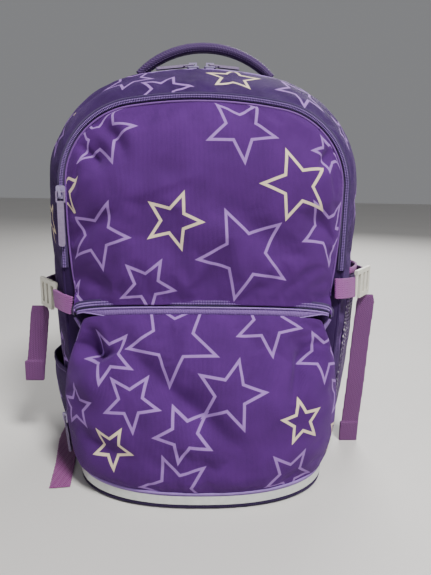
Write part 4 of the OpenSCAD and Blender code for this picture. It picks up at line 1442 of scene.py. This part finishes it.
for side, x in (("left", -58), ("right", 58)):
    pad = cushion("back_cushion_" + side, (x, 208), (91, 175), 17, PAD_FACE_Y, m_pad, "padding",
                  (-0.62, -0.2, 0.22, 0.64))
    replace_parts(pad, "back_pad_" + side)
lumbar = cushion("lumbar_cushion", (0, 68), (175, 77), 19, PAD_FACE_Y, m_pad, "padding", (0.0,))
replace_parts(lumbar, "lumbar_pad")

back_wall = filled_outline("back_wall", body_outline(REAR_Y, grow=-0.6, n=200), 6.4, m_backing, "padding",
                           97.2)
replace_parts(back_wall, "back_panel")
yoke = cushion("yoke_quilt", (0, 340), (165, 53), 2.4, PAD_FACE_Y, m_yoke, "fabric_plain", (-0.6, 0.0, 0.6))
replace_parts(yoke, "shoulder_yoke")


ARC_Y, ARC_Z, ARC_RADIUS = 138, 330, 24         # the turn of a shoulder strap over the top of the back


def strap_centreline(side):
    """The middle of a shoulder strap: over its turn, then down and outwards to the adjuster."""
    arc = [(side * (50 + 2 * k / 16), ARC_Y - ARC_RADIUS * math.cos(math.pi * k / 16),
            ARC_Z + ARC_RADIUS * math.sin(math.pi * k / 16)) for k in range(17)]
    line = arc + [(side * (52 + 36 * k / 20), ARC_Y + ARC_RADIUS - 12 * k / 20, ARC_Z - 218 * k / 20)
                  for k in range(1, 21)]
    return smooth_line(line, 120, False)


def foam_section(width, thick):
    """Rounded, slightly domed section of a padded strap."""
    ring = []
    for a in np.linspace(0, 2 * math.pi, 28, endpoint=False):
        c, s = math.cos(a), math.sin(a)
        ring.append((width / 2 * math.copysign(abs(c) ** 0.35, c),
                     thick / 2 * math.copysign(abs(s) ** 0.75, s)))
    return np.array(ring)


for side_name, side in (("left", -1), ("right", 1)):
    line = strap_centreline(side)
    tangent = np.gradient(line, axis=0)
    out = np.cross(np.tile((1.0, 0, 0), (120, 1)), tangent)
    out *= np.sign(out[60, 1]) or 1
    share = np.linspace(0, 1, 120)
    width = 57.5 - 7 * np.clip((share - 0.75) / 0.25, 0, 1) ** 2 - 3 * np.clip((0.06 - share) / 0.06, 0, 1)
    thick = 11.6 + 0.25 * np.sin(share * 60)
    section = np.stack([foam_section(w, t) for w, t in zip(width, thick)])
    strap = sweep("shoulder_foam_" + side_name, line, out, section, m_pad, "padding")
    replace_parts(strap, "shoulder_strap_" + side_name)
    sewn, free = (side * 0.050, 0.114, 0.345), (side * 0.050, 0.132, 0.345)
    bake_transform(strap, "pack", "shoulder_" + side_name, sewn, free)
    for edge in (-1, 1):
        binding = sweep("strap_binding", line, out,
                        np.stack([np.array(round_section(1.5, 8)) + (edge * w / 2, 0)
                                                             for w in width]), m_plain, "fabric_plain")
        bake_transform(binding, "pack", "shoulder_" + side_name, sewn, free)

# ---------------------------------------------------------------- floor and end

floor_mesh = bpy.data.meshes.new("floor")
floor_mesh.from_pydata([(-6, -6, 0), (6, -6, 0), (6, 6, 0), (-6, 6, 0)], [], [(0, 1, 2, 3)])
floor = bpy.data.objects.new("floor", floor_mesh)
bpy.context.scene.collection.objects.link(floor)
floor_mesh.materials.append(solid_material("floor", (0.66, 0.64, 0.61), rough=0.6, grain=3, mottle=0.03))
floor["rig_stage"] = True

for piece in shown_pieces():
    if body_of(piece) is None:
        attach(piece, "pack")
